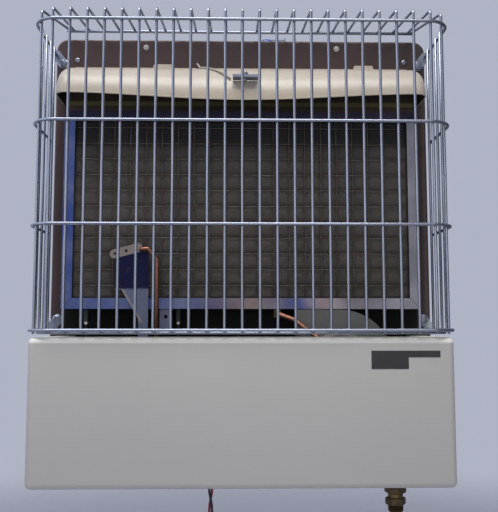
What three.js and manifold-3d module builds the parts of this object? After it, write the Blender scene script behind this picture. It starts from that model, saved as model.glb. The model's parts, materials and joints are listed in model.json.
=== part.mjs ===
// Wall mounted flameless gas heater: a painted back pan carries a quilted catalyst pad in a mitred
// frame, a deflector hood, a wire guard and a control housing with the gas and electric feeds under it.
// Millimetres. +X right, +Y into the wall, +Z up. The origin is on the wall plane, on the pan's top back
// lip, where the heater hangs. Heights below are counted from the guard's foot ring and moved at the end.

import * as THREE from 'three';
import { mergeVertices } from 'three/addons/utils/BufferGeometryUtils.js';
import Module from 'manifold-3d';

const wasm = await Module();
wasm.setup();

// ---- driving dimensions ----------------------------------------------------------------------------

const GAP = 0.3;                 // seat between two touching pieces
const SHEET = 1.2;               // painted sheet steel

const PAN_WIDTH = 510;
const PAN_TOP = 400;
const PAN_FOOT = -170;
const PAN_DEPTH = 20;            // wall to the pan's face
const PAN_CORNER = 16;
const PAN_LIP = 11;              // inturned back lip that lies on the wall
const NOTCH_X = [20, 68];        // notch in the pan's top return for the wall hook
const NOTCH_DEPTH = 14;

const WIRE_PITCH = 21;           // guard uprights
const WIRE_D = 3.6;
const RING_D = 4;
const WELD = 0.8;                // how far crossing wires are sunk into each other
const GUARD_DEPTH = 121;         // pan face to the uprights' centres
const GUARD_SPREAD = 0.5;        // side runs' centres outside the pan's sides
const RING_STEP = 125.8;
const RINGS = 4;
const RING_BEND = 29;
const CORNER_WIRE_TURN = 52;     // degrees round the corner from the front
const FOOT_ROD_DROP = 3.4;       // second foot rod under the lowest ring
const SIDE_WIRES = 4;
const SIDE_FIRST = 37;           // front uprights to the first side upright
const SIDE_PITCH = 19.7;
const SIDE_RING_END = 104;       // how far back the middle rings run
const TOP_BEND = 392;            // where the uprights turn back
const TOP_BEND_R = 5;
const TOP_RISE = 18;             // the turned runs climb this much to the rear rod
const ROD_BACK = 110;            // front uprights to the rear rod
const WIRE_TAIL = 8;             // wire ends past the rear rod
const BOLT_EDGE = 10;            // pan's side to the bolts
const BOLT_INSET = 13.5;         // bolts sit this far inside the first and last ring
const BOLT_D = 5;
const BOLT_HEAD = 10;            // across flats
const BOLT_HEAD_H = 4.5;
const BOLT_FLANGE = 13.5;
const TAB_SHEET = 1.5;
const TAB_RADIUS = 6.5;

const TRAY_SHEET = 0.8;
const TRAY_DEPTH = 30;
const RAIL_WIDTH = 14;
const RAIL_SHEET = 1;
const RAIL_FLANGE = 8;
const CELL = 21;                 // quilting and screen pitch
const WINDOW = [441, 235];       // the pad's window, across and up
const PAD_FOOT = 41;             // the window's lower edge
const SCREEN_SHIFT = 16;         // first screen wire above that edge
const SCREEN_D = 1.2;
const PAD_THICK = 8;
const PAD_CROWN = 2.5;
const ELEMENT_D = 4;
const DIFFUSER_SHEET = 0.8;
const DIFFUSER_STAND = 6;        // plenum behind the diffuser
const TERMINAL_X = [-204, -83];
const TERMINAL_D = 8;

const HOOD_WIDTH = 486;
const HOOD_REACH = 61;           // pan face to the lip
const HOOD_LIP = 305.5;
const HOOD_CROWN = 9;            // the lip hangs lower in the middle
const HOOD_TOP = 354.5;
const HOOD_END = 14;             // rounded length at each end
const HOOD_END_SHRINK = 0.26;
const HOOD_FLANGE = 5;
const HOOD_TAB_X = [-108, 169];
const HOOD_TAB = [28, 10];       // width, height above the hood's top

const HOUSING_WIDTH = 502;
const HOUSING_TOP = -8.2;
const HOUSING_FOOT = -183;
const HOUSING_EDGE = 3.5;          // rounded edge
const HOUSING_TOP_FLANGE = 26;
const HOUSING_MOUTH_SIDE = 30;
const HOUSING_MOUTH_R = 6;

const SHELF_SHEET = 1.5;
const SHELF_DEPTH = 95;
const SHELF_WEB_TOP = -40;
const SHELF_LIP = 12;            // turned up front edge
const SHELF_WIDTH = 480;

const REGULATOR = [127, -44];    // x, z of its round side's centre
const REGULATOR_R = 70;
const REGULATOR_THICK = 37;
const REGULATOR_FLAT = 55;       // its flat side, left of the centre
const COVER_R = 42;              // raised round cover on its face
const PORT_D = 14;
const TUBE_D = 6.4;              // copper supply tube
const PIPE_D = 13;

const INLET_X = 190.7;
const INLET_Y = -78;
const INLET_BORE = 9;
const INLET_HOLE = 17;           // round the fitting's spigot
const BUTTON_X = 163;
const BUTTON_D = 12;
const STEM_D = 5;
const SPRING_WIRE = 0.8;
const SPRING_TURNS = 5;

const LEAD_X = -38;
const LEAD_Y = -81;
const LEAD_D = 3;
const GROMMET_D = 10;

// ---- derived places --------------------------------------------------------------------------------

const PAN_FACE = -PAN_DEPTH;
const BOLT_X = PAN_WIDTH / 2 - BOLT_EDGE;
const WIRE_R = WIRE_D / 2;
const RING_R = RING_D / 2;
const CROSS = WIRE_R + RING_R - WELD;              // centre to centre of two welded wires
const FRONT_Y = PAN_FACE - GUARD_DEPTH;            // uprights
const RING_Y = FRONT_Y - CROSS;                    // rings' front runs
const RING_X = PAN_WIDTH / 2 + GUARD_SPREAD;
const ringZ = (i) => RING_STEP * i;
const RING_TOP = ringZ(RINGS - 1);
const FRONT_WIRES = 2 * Math.floor((RING_X - RING_BEND / 2) / WIRE_PITCH) + 1;  // without the corners' two
const SEAM_TOP = RING_TOP + RING_R + 1;
const SEAM_SIDE = RING_Y + RING_BEND;

const WINDOW_X = WINDOW[0] / 2;
const STITCH_X = WINDOW_X - CELL / 2;               // outermost stitches, half a cell inside the window
const WINDOW_TOP = PAD_FOOT + WINDOW[1];
const TRAY_FRONT = PAN_FACE - TRAY_DEPTH;
const FRAME_X = WINDOW_X + RAIL_WIDTH;
const FRAME_FOOT = PAD_FOOT - RAIL_WIDTH;
const FRAME_TOP = WINDOW_TOP + RAIL_WIDTH;
const TRAY_X = FRAME_X - RAIL_SHEET - GAP;
const TRAY_FOOT = FRAME_FOOT + RAIL_SHEET + GAP;
const TRAY_TOP = FRAME_TOP - RAIL_SHEET - GAP;
const TRAY_BACK = PAN_FACE - GAP;
const SCREEN_Y = TRAY_FRONT + SCREEN_D / 2 + 0.1;  // uprights of the screen
const SCREEN_REAR_Y = SCREEN_Y + 0.6 * SCREEN_D;
const PAD_FRONT = SCREEN_REAR_Y + SCREEN_D / 2 + GAP + PAD_CROWN;
const PAD_BACK = PAD_FRONT + PAD_THICK;
const ELEMENT_Y = PAD_BACK + GAP + ELEMENT_D / 2;
const WOOL_FRONT = ELEMENT_Y + ELEMENT_D / 2 + GAP;
const DIFFUSER_Y = TRAY_BACK - TRAY_SHEET - DIFFUSER_STAND;
const WOOL_BACK = DIFFUSER_Y - DIFFUSER_SHEET - GAP;

const HOUSING_FRONT = FRONT_Y;
const SHELF_Z = HOUSING_FOOT + SHEET + GAP;        // underside of the shelf
const SHELF_BACK = PAN_FACE - GAP;
const SHELF_TOP = SHELF_Z + SHELF_SHEET;

// ---- finishes --------------------------------------------------------------------------------------

const finishes = {
  brownPaint: [0x43332f, 0.45, 0.1],
  creamPaint: [0xddd3c5, 0.4, 0],
  greyPaint: [0xd6d3cb, 0.4, 0],
  zinc: [0x9aa3b0, 0.28, 0.9],
  barePlate: [0x8f9199, 0.35, 0.85],
  pad: [0x4a4540, 0.95, 0],
  screen: [0x5a5652, 0.5, 0.7],
  wool: [0xd8d4c8, 1, 0],
  copper: [0xb4643a, 0.35, 0.9],
  brass: [0x8f7440, 0.4, 0.85],
  castGrey: [0x7d7d7a, 0.55, 0.3],
  ceramic: [0xe6e2d8, 0.5, 0],
  redInsulation: [0x8a1020, 0.5, 0],
  blackInsulation: [0x101010, 0.5, 0],
  rubber: [0x141414, 0.8, 0],
  blueNylon: [0x1d4fb0, 0.45, 0],
  redNylon: [0xa01818, 0.4, 0],
};

// ---- geometry helpers ------------------------------------------------------------------------------

const V = (x, y, z) => new THREE.Vector3(x, y, z);
const basis = (x, y, z) => new THREE.Matrix4().makeBasis(V(...x), V(...y), V(...z));
const TO_FRONT = basis([1, 0, 0], [0, 0, 1], [0, -1, 0]);  // drawn in x and z, pushed out to the front
const TO_RIGHT = basis([0, 1, 0], [0, 0, 1], [1, 0, 0]);   // drawn in y and z, pushed out to the right
const SPIN_UP = basis([1, 0, 0], [0, 0, 1], [0, -1, 0]);   // a turned profile's axis becomes +Z
const SPIN_FRONT = basis([1, 0, 0], [0, -1, 0], [0, 0, -1]);

// A geometry with only positions, shared corners, no collapsed faces and its faces turned outward.
function clean(geometry) {
  const bare = geometry.clone();
  bare.deleteAttribute('normal');
  bare.deleteAttribute('uv');
  const merged = mergeVertices(bare, 1e-4);
  const at = merged.attributes.position;
  const old = merged.index.array;
  const faces = [];
  let volume = 0;
  for (let i = 0; i < old.length; i += 3) {
    const [a, b, c] = [old[i], old[i + 1], old[i + 2]];
    if (a === b || b === c || c === a) continue;
    faces.push(a, b, c);
    const [p, q, r] = [a, b, c].map((k) => V().fromBufferAttribute(at, k));
    volume += p.dot(q.cross(r));
  }
  if (volume < 0) faces.reverse();
  merged.setIndex(faces);
  return merged;
}

function toSolid(geometry) {
  const { attributes, index } = clean(geometry);
  const vertProperties = new Float32Array(attributes.position.array);
  const triVerts = new Uint32Array(index.array);
  return new wasm.Manifold(new wasm.Mesh({ numProp: 3, vertProperties, triVerts }));
}

function toGeometry(solid) {
  const { vertProperties, triVerts } = solid.getMesh();
  const geometry = new THREE.BufferGeometry();
  geometry.setAttribute('position', new THREE.BufferAttribute(new Float32Array(vertProperties), 3));
  geometry.setIndex(Array.from(triVerts));
  return geometry;
}

const join = (...pieces) => toGeometry(pieces.map(toSolid).reduce((a, b) => a.add(b)));
const cut = (body, ...tools) => toGeometry(tools.map(toSolid).reduce((a, b) => a.subtract(b), toSolid(body)));

function block([x0, x1], [y0, y1], [z0, z1]) {
  const geometry = new THREE.BoxGeometry(x1 - x0, y1 - y0, z1 - z0);
  return geometry.translate((x0 + x1) / 2, (y0 + y1) / 2, (z0 + z1) / 2);
}

const push = (shape, depth, turn, curveSegments = 4) =>
  new THREE.ExtrudeGeometry(shape, { depth, bevelEnabled: false, curveSegments }).applyMatrix4(turn);

// A plate drawn as seen from the front, its back at y, growing towards the room.
const frontPlate = (shape, y, thick) => push(shape, thick, TO_FRONT).translate(0, y, 0);
// A section drawn in y and z, run from x0 to x1.
const run = (section, x0, x1) => push(polygon(section), x1 - x0, TO_RIGHT).translate(x0, 0, 0);

const polygon = (points) => new THREE.Shape(points.map(([x, y]) => new THREE.Vector2(x, y)));

function roundedRect(x0, x1, z0, z1, r0, r1 = r0) {
  const shape = new THREE.Shape();
  shape.moveTo(x0 + r0, z0).lineTo(x1 - r0, z0);
  shape.absarc(x1 - r0, z0 + r0, r0, -Math.PI / 2, 0);
  shape.absarc(x1 - r1, z1 - r1, r1, 0, Math.PI / 2);
  shape.absarc(x0 + r1, z1 - r1, r1, Math.PI / 2, Math.PI);
  shape.absarc(x0 + r0, z0 + r0, r0, Math.PI, Math.PI * 1.5);
  return shape;
}

function disc(x, z, r) {
  const shape = new THREE.Shape();
  shape.absarc(x, z, r, 0, Math.PI * 2);
  return shape;
}

// A slot-like outline round the line from one centre to another.
function stadium([ax, az], [bx, bz], r) {
  const turn = Math.atan2(bz - az, bx - ax);
  const shape = new THREE.Shape();
  shape.absarc(bx, bz, r, turn - Math.PI / 2, turn + Math.PI / 2);
  shape.absarc(ax, az, r, turn + Math.PI / 2, turn + Math.PI * 1.5);
  return shape;
}

const turned = (profile, sides, turn) =>
  new THREE.LatheGeometry(profile.map(([r, a]) => new THREE.Vector2(r, a)), sides).applyMatrix4(turn);
const post = (x, y, z0, z1, r, sides = 12) =>
  turned([[0, z0], [r, z0], [r, z1], [0, z1]], sides, SPIN_UP).translate(x, y, 0);
// A pin that runs along y from its back end to its front end.
const pin = (x, z, back, front, r, sides = 10) =>
  turned([[0, -back], [r, -back], [r, -front], [0, -front]], sides, SPIN_FRONT).translate(x, 0, z);

function hexPrism(acrossFlats, depth) {
  const r = acrossFlats / Math.sqrt(3);
  const corner = (turn) => [r * Math.cos(turn), r * Math.sin(turn)];
  const corners = [0, 1, 2, 3, 4, 5].map((i) => corner((i * Math.PI) / 3));
  return new THREE.ExtrudeGeometry(polygon(corners), { depth, bevelEnabled: false });
}

// A path that is sampled exactly at its stations.
class StationPath extends THREE.Curve {
  constructor(stations) {
    super();
    this.stations = stations;
  }

  getPointAt(u) {
    return this.stations[Math.round(u * (this.stations.length - 1))].clone();
  }

  getTangentAt(u) {
    const last = this.stations.length - 1;
    const i = Math.round(u * last);
    const ahead = this.stations[Math.min(i + 1, last)].clone().sub(this.stations[i]).normalize();
    const behind = this.stations[i].clone().sub(this.stations[Math.max(i - 1, 0)]).normalize();
    return ahead.add(behind).normalize();
  }
}

// Corner points made into stations, with an arc at each inner corner.
function rounded(corners, radius, steps) {
  const stations = [corners[0]];
  for (let i = 1; i < corners.length - 1; i += 1) {
    const [before, here, after] = [corners[i - 1], corners[i], corners[i + 1]];
    const u = before.clone().sub(here).normalize();
    const v = after.clone().sub(here).normalize();
    const half = u.angleTo(v) / 2;
    const centre = here.clone().add(u.clone().add(v).setLength(radius / Math.sin(half)));
    const from = here.clone().addScaledVector(u, radius / Math.tan(half)).sub(centre);
    const to = here.clone().addScaledVector(v, radius / Math.tan(half)).sub(centre);
    const sweep = from.angleTo(to);
    for (let k = 0; k <= steps; k += 1) {
      const a = Math.sin(sweep * (1 - k / steps)) / Math.sin(sweep);
      const b = Math.sin((sweep * k) / steps) / Math.sin(sweep);
      stations.push(centre.clone().addScaledVector(from, a).addScaledVector(to, b));
    }
  }
  stations.push(corners[corners.length - 1]);
  return stations;
}

// A drawn wire or tube. The phase turns its section, so that crossing wires can meet edge to edge.
function wire(stations, diameter, sides = 6, phase = 0) {
  const ring = Array.from({ length: sides }, (_, i) => {
    const turn = ((i + phase) * 2 * Math.PI) / sides;
    return [(diameter / 2) * Math.cos(turn), (diameter / 2) * Math.sin(turn)];
  });
  const steps = stations.length - 1;
  return new THREE.ExtrudeGeometry(polygon(ring), { steps, extrudePath: new StationPath(stations) });
}

const group = new THREE.Group();

function piece(name, finish, geometry) {
  const [color, roughness, metalness] = finishes[finish];
  const material = new THREE.MeshStandardMaterial({ color, roughness, metalness });
  const mesh = new THREE.Mesh(clean(geometry), material);
  mesh.name = name;
  group.add(mesh);
}

// ---- back pan and how it hangs ---------------------------------------------------------------------

const RIVET_X = 132;
const RIVET_Z = PAN_TOP - 11.5;
const RIVET_D = 4;
const PAN_SCREW = [PAN_WIDTH / 2 - 29, 370];
const SCREW_D = 3.4;
const CLEAR = 2 * GAP;                              // play of a shank in its hole

const boltPlaces = [];
for (const side of [-1, 1]) {
  for (const [ring, inward] of [[0, 1], [RING_TOP, -1]]) {
    boltPlaces.push([side * BOLT_X, ring + inward * BOLT_INSET, side, ring]);
  }
}

function backPan() {
  const half = PAN_WIDTH / 2;
  const outline = (inset) =>
    roundedRect(-half + inset, half - inset, PAN_FOOT + inset, PAN_TOP - inset, 3, PAN_CORNER - inset);
  const hollow = frontPlate(outline(SHEET), -SHEET, PAN_DEPTH - 2 * SHEET);
  const mouth = frontPlate(outline(PAN_LIP), 1, SHEET + 2);
  const notch = block(NOTCH_X, [-NOTCH_DEPTH, 1], [PAN_TOP - PAN_LIP - 4, PAN_TOP + 1]);
  const hole = (x, z, d) => pin(x, z, 1, PAN_FACE - 1, d / 2, 8);
  const holes = boltPlaces.map(([x, z]) => hole(x, z, BOLT_D + CLEAR));
  for (const side of [-1, 1]) {
    holes.push(hole(side * RIVET_X, RIVET_Z, RIVET_D + CLEAR));
    holes.push(hole(side * PAN_SCREW[0], PAN_SCREW[1], SCREW_D + CLEAR));
  }
  return cut(frontPlate(outline(0), 0, PAN_DEPTH), hollow, mouth, notch, ...holes);
}

// The rail behind the pan's face: an upside-down channel that drops over the hook's finger.
const RAIL_HALF = 150;
const RAIL_SECTION = {
  web: PAN_FACE + SHEET + GAP, top: PAN_TOP - 3.5, foot: PAN_TOP - 17, lipY: -7, lipZ: PAN_TOP - 14,
};

function hangerRail() {
  const { web, top, foot, lipY, lipZ } = RAIL_SECTION;
  const t = TAB_SHEET;
  const section = [
    [web, foot], [web + t, foot], [web + t, top - t], [lipY - t, top - t], [lipY - t, lipZ], [lipY, lipZ],
    [lipY, top], [web, top],
  ];
  const radius = (RIVET_D + CLEAR) / 2;
  const holes = [-1, 1].map((side) => pin(side * RIVET_X, RIVET_Z, web + 2 * t, PAN_FACE, radius, 8));
  return cut(run(section, -RAIL_HALF, RAIL_HALF), ...holes);
}

// The wall hook: a plate on the wall, a finger that the rail hangs on, and a turned side edge.
const HOOK_X = [29, 62];
const HOOK_TOP = PAN_TOP + 9;
const HOOK_FOOT = 345;
const HOOK_EDGE = 9;

function wallHook() {
  const { top, lipY, web } = RAIL_SECTION;
  const t = TAB_SHEET;
  const rise = (lipY - t + web + t) / 2;
  const fingerTop = top - t - GAP;
  const section = [
    [0, HOOK_FOOT], [0, HOOK_TOP], [-t, HOOK_TOP], [-t, lipFoot()], [rise + t / 2, lipFoot()],
    [rise + t / 2, fingerTop], [rise - t / 2, fingerTop], [rise - t / 2, lipFoot() - t], [-t, lipFoot() - t],
    [-t, HOOK_FOOT],
  ];
  const edge = block([HOOK_X[1] - t, HOOK_X[1]], [-HOOK_EDGE, -t / 2], [PAN_TOP - PAN_LIP + 1, HOOK_TOP]);
  const clearRail = block([HOOK_X[1] - 2 * t, HOOK_X[1] + 1], [RAIL_SECTION.web, lipY + GAP], [0, top + GAP]);
  return join(run(section, ...HOOK_X), cut(edge, clearRail));
}

const lipFoot = () => RAIL_SECTION.lipZ - GAP;

const CAP_D = 16;
const CAP_Z = PAN_TOP + 1.5;

function hookCap() {
  const r = CAP_D / 2;
  const back = TAB_SHEET + GAP;
  const dome = [0, 1, 2, 3, 4].map((i) => {
    const turn = (i * Math.PI) / 8;
    return [r * Math.cos(turn), back + 0.7 + 4 * Math.sin(turn)];
  });
  dome[4][0] = 0;
  return turned([[0, back], [r, back], ...dome], 14, SPIN_FRONT).translate(HOOK_X[0] + r - 1, 0, CAP_Z);
}

// A dome head with a shank through the pan and, where one is given, a clinched tail.
function domeFastener(x, z, headR, headH, shankR, back, tailR = 0) {
  const front = -PAN_FACE + GAP;
  const domePoint = (turn) => [headR * Math.cos(turn), front + headH * Math.sin(turn)];
  const dome = [0, 1, 2, 3].map((i) => domePoint((i * Math.PI) / 6));
  dome[3][0] = 0;
  const tail = tailR ? [[0, back - 2], [tailR, back - 2], [tailR, back]] : [[0, back]];
  const profile = [...tail, [shankR, back], [shankR, front], ...dome];
  return turned(profile, 10, SPIN_FRONT).translate(x, 0, z);
}

piece('back_pan', 'brownPaint', backPan());
piece('hanger_rail', 'zinc', hangerRail());
piece('wall_hook', 'zinc', wallHook());
piece('hook_cap', 'blueNylon', hookCap());
for (const [side, label] of [[-1, 'left'], [1, 'right']]) {
  const tail = -(RAIL_SECTION.web + TAB_SHEET) - GAP;
  piece(`rail_rivet_${label}`, 'ceramic',
    domeFastener(side * RIVET_X, RIVET_Z, 4, 2.4, RIVET_D / 2, tail, RIVET_D / 2 + 1));
  piece(`pan_screw_${label}`, 'zinc',
    domeFastener(side * PAN_SCREW[0], PAN_SCREW[1], 3.6, 2, SCREW_D / 2, PAN_DEPTH - SHEET - 4));
}

// ---- wire guard ------------------------------------------------------------------------------------

const wireX = Array.from({ length: FRONT_WIRES }, (_, i) => (i - (FRONT_WIRES - 1) / 2) * WIRE_PITCH);
const cornerTurn = THREE.MathUtils.degToRad(CORNER_WIRE_TURN);
const cornerX = RING_X - RING_BEND + (RING_BEND - CROSS) * Math.sin(cornerTurn);
const cornerY = RING_Y + RING_BEND - (RING_BEND - CROSS) * Math.cos(cornerTurn);

// An upright past the start of the rings' bends stands back with them.
function wireY(x) {
  const bend = RING_BEND - CROSS;
  const past = Math.max(0, Math.abs(x) - (RING_X - RING_BEND));
  return FRONT_Y + bend - Math.sqrt(bend * bend - past * past);
}

function guardFront() {
  const foot = -FOOT_ROD_DROP - RING_R;
  const upright = (x, y) => wire([V(x, y, foot), V(x, y, SEAM_TOP)], WIRE_D);
  const wires = wireX.map((x) => upright(x, wireY(x)));
  wires.push(upright(-cornerX, cornerY), upright(cornerX, cornerY));
  for (let i = 0; i < RINGS; i += 1) {
    const z = ringZ(i);
    const rightHalf = [V(RING_X, RING_Y, z), V(RING_X, SEAM_SIDE, z)];
    const corners = [V(-RING_X, SEAM_SIDE, z), V(-RING_X, RING_Y, z), ...rightHalf];
    wires.push(wire(rounded(corners, RING_BEND - 0.01, 3), RING_D, 6, 0.5));
  }
  const end = wireX[FRONT_WIRES - 1] + WIRE_PITCH / 2;
  const footRod = [V(-end, FRONT_Y + CROSS, -FOOT_ROD_DROP), V(end, FRONT_Y + CROSS, -FOOT_ROD_DROP)];
  wires.push(wire(footRod, RING_D, 6, 0.5));
  return join(...wires);
}

// The uprights' bent tops: up, round and back to the rear rod. The corner wires lean in to its ends.
function guardTop() {
  const rodY = FRONT_Y + ROD_BACK;
  const slope = TOP_RISE / ROD_BACK;
  const rodEnd = wireX[FRONT_WIRES - 1] + 3;
  const bent = (x, y, endX) => {
    const tail = rodY + WIRE_TAIL;
    const end = V(endX, tail, TOP_BEND + slope * (tail - y));
    const corners = [V(x, y, SEAM_TOP + GAP), V(x, y, TOP_BEND), end];
    return wire(rounded(corners, TOP_BEND_R, 2), WIRE_D);
  };
  const wires = wireX.map((x) => bent(x, wireY(x), x));
  wires.push(bent(-cornerX, cornerY, -rodEnd), bent(cornerX, cornerY, rodEnd));
  const rodZ = TOP_BEND + TOP_RISE - CROSS;
  wires.push(wire([V(-rodEnd - 5, rodY, rodZ), V(rodEnd + 5, rodY, rodZ)], RING_D));
  return join(...wires);
}

const TAB_FRONT = PAN_FACE - GAP - TAB_SHEET;

function guardSide(side) {
  const x = side * (RING_X - CROSS);
  const wires = [];
  for (let i = 0; i < SIDE_WIRES; i += 1) {
    const y = FRONT_Y + SIDE_FIRST + i * SIDE_PITCH;
    wires.push(wire([V(x, y, -RING_R - 1), V(x, y, RING_TOP + RING_R)], WIRE_D, 6, 0.5));
  }
  for (let i = 0; i < RINGS; i += 1) {
    const toTab = i === 0 || i === RINGS - 1;
    const end = toTab ? TAB_FRONT - GAP : FRONT_Y + SIDE_RING_END;
    const ringEnds = [SEAM_SIDE + GAP, end].map((y) => V(side * RING_X, y, ringZ(i)));
    wires.push(wire(ringEnds, RING_D, 6, 0.5));
  }
  return join(...wires);
}

function guardTab([x, z, side, ringHeight]) {
  const outline = stadium([x, z], [side * RING_X, ringHeight], TAB_RADIUS);
  const hole = pin(x, z, PAN_FACE, TAB_FRONT - 1, (BOLT_D + CLEAR) / 2, 8);
  return cut(frontPlate(outline, PAN_FACE - GAP, TAB_SHEET), hole);
}

function guardBolt([x, z]) {
  const flangeBack = -TAB_FRONT + GAP;
  const flange = [
    [0, PAN_DEPTH - SHEET - 5], [BOLT_D / 2, PAN_DEPTH - SHEET - 5], [BOLT_D / 2, flangeBack],
    [BOLT_FLANGE / 2, flangeBack], [BOLT_FLANGE / 2, flangeBack + 1], [0, flangeBack + 1.6],
  ];
  const head = hexPrism(BOLT_HEAD, BOLT_HEAD_H).applyMatrix4(TO_FRONT).translate(0, -flangeBack - 0.8, 0);
  return join(turned(flange, 10, SPIN_FRONT), head).translate(x, 0, z);
}

piece('guard_front', 'zinc', guardFront());
piece('guard_top', 'zinc', guardTop());
piece('guard_side_left', 'zinc', guardSide(-1));
piece('guard_side_right', 'zinc', guardSide(1));
const boltNames = ['lower_left', 'upper_left', 'lower_right', 'upper_right'];
boltPlaces.forEach((place, i) => {
  piece(`guard_tab_${boltNames[i]}`, 'zinc', guardTab(place));
  piece(`guard_bolt_${boltNames[i]}`, 'zinc', guardBolt(place));
});

// ---- burner: tray, diffuser, wool, start element, quilted pad, screen and mitred frame -------------

const SUPPLY_X = 48;
const SUPPLY_Y = (TRAY_BACK - TRAY_SHEET + DIFFUSER_Y) / 2;

function burnerTray() {
  const walls = roundedRect(-TRAY_X, TRAY_X, TRAY_FOOT, TRAY_TOP, 1);
  const t = TRAY_SHEET;
  const inside = roundedRect(-TRAY_X + t, TRAY_X - t, TRAY_FOOT + t, TRAY_TOP - t, 0.5);
  const hollow = frontPlate(inside, TRAY_BACK - t, TRAY_DEPTH);
  const down = (x, y, d) => post(x, y, TRAY_FOOT - 1, TRAY_FOOT + 3, d / 2, 8);
  const holes = TERMINAL_X.map((x) => down(x, ELEMENT_Y, ELEMENT_D + CLEAR));
  holes.push(down(SUPPLY_X, SUPPLY_Y, 4));
  return cut(frontPlate(walls, TRAY_BACK, -TRAY_FRONT + TRAY_BACK), hollow, ...holes);
}

const innerX = TRAY_X - TRAY_SHEET - GAP;
const innerFoot = TRAY_FOOT + TRAY_SHEET + GAP;
const innerTop = TRAY_TOP - TRAY_SHEET - GAP;
const insideTray = () =>
  polygon([[-innerX, innerFoot], [innerX, innerFoot], [innerX, innerTop], [-innerX, innerTop]]);
const DIFFUSER_EDGE = 9;
const PORTS = [4, 3];                               // across, up
const PORT_STEP = [100, 72];
const PORT_FIRST = 46;                              // lowest ports above the window's foot

// A perforated plate whose turned edges stand it off the tray's back.
function gasDiffuser() {
  const t = DIFFUSER_SHEET;
  const edge = DIFFUSER_EDGE;
  const back = TRAY_BACK - TRAY_SHEET - GAP;
  const plate = frontPlate(insideTray(), back, DIFFUSER_STAND - GAP + t);
  const [low, high] = [innerFoot + edge, innerTop - edge];
  const under = block([-innerX + edge, innerX - edge], [DIFFUSER_Y, TRAY_BACK], [low, high]);
  const feed = block([SUPPLY_X - 4, SUPPLY_X + 4], [DIFFUSER_Y + t, TRAY_BACK], [innerFoot - 1, low + 1]);
  const ports = [];
  for (let i = 0; i < PORTS[0]; i += 1) {
    for (let k = 0; k < PORTS[1]; k += 1) {
      const x = (i - (PORTS[0] - 1) / 2) * PORT_STEP[0];
      const z = PAD_FOOT + PORT_FIRST + k * PORT_STEP[1];
      ports.push(pin(x, z, TRAY_BACK, WOOL_BACK - 1, 5, 6));
    }
  }
  return cut(plate, under, feed, ...ports);
}

const woolLayer = () => frontPlate(insideTray(), WOOL_BACK, WOOL_BACK - WOOL_FRONT);

const ELEMENT_ROWS = 4;
const ELEMENT_STEP = 60;
const ELEMENT_FOOT = 72;
const ELEMENT_REACH = 188;
const TERMINAL_FOOT = 7;

// One sheathed heater bent to and fro across the pad, both ends brought down through the tray.
function startElement() {
  const at = (x, z) => V(x, ELEMENT_Y, z);
  const corners = [at(TERMINAL_X[1], TERMINAL_FOOT + 9)];
  let x = TERMINAL_X[1];
  for (let i = 0; i < ELEMENT_ROWS; i += 1) {
    const z = ELEMENT_FOOT + i * ELEMENT_STEP;
    const last = i === ELEMENT_ROWS - 1;
    const next = i % 2 === 0 ? ELEMENT_REACH : -ELEMENT_REACH;
    corners.push(at(x, z));
    x = last ? TERMINAL_X[0] : next;
    corners.push(at(x, z));
  }
  corners.push(at(TERMINAL_X[0], TERMINAL_FOOT + 9));
  return wire(rounded(corners, 14, 2), ELEMENT_D, 5);
}

// A ceramic bush under the tray with a threaded end and nut.
function terminal(x) {
  const foot = TERMINAL_FOOT;
  const seat = FRAME_FOOT - RAIL_SHEET;
  const bore = ELEMENT_D / 2 + GAP;
  const top = TRAY_FOOT - GAP;
  const profile = [
    [0, foot], [2.6, foot], [2.6, foot + 3], [TERMINAL_D / 2, foot + 3], [TERMINAL_D / 2, seat],
    [TERMINAL_D / 2 - 1, top], [bore, top], [bore, foot + 9 - GAP], [0, foot + 9 - GAP],
  ];
  return turned(profile, 10, SPIN_UP).translate(x, ELEMENT_Y, 0);
}

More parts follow.
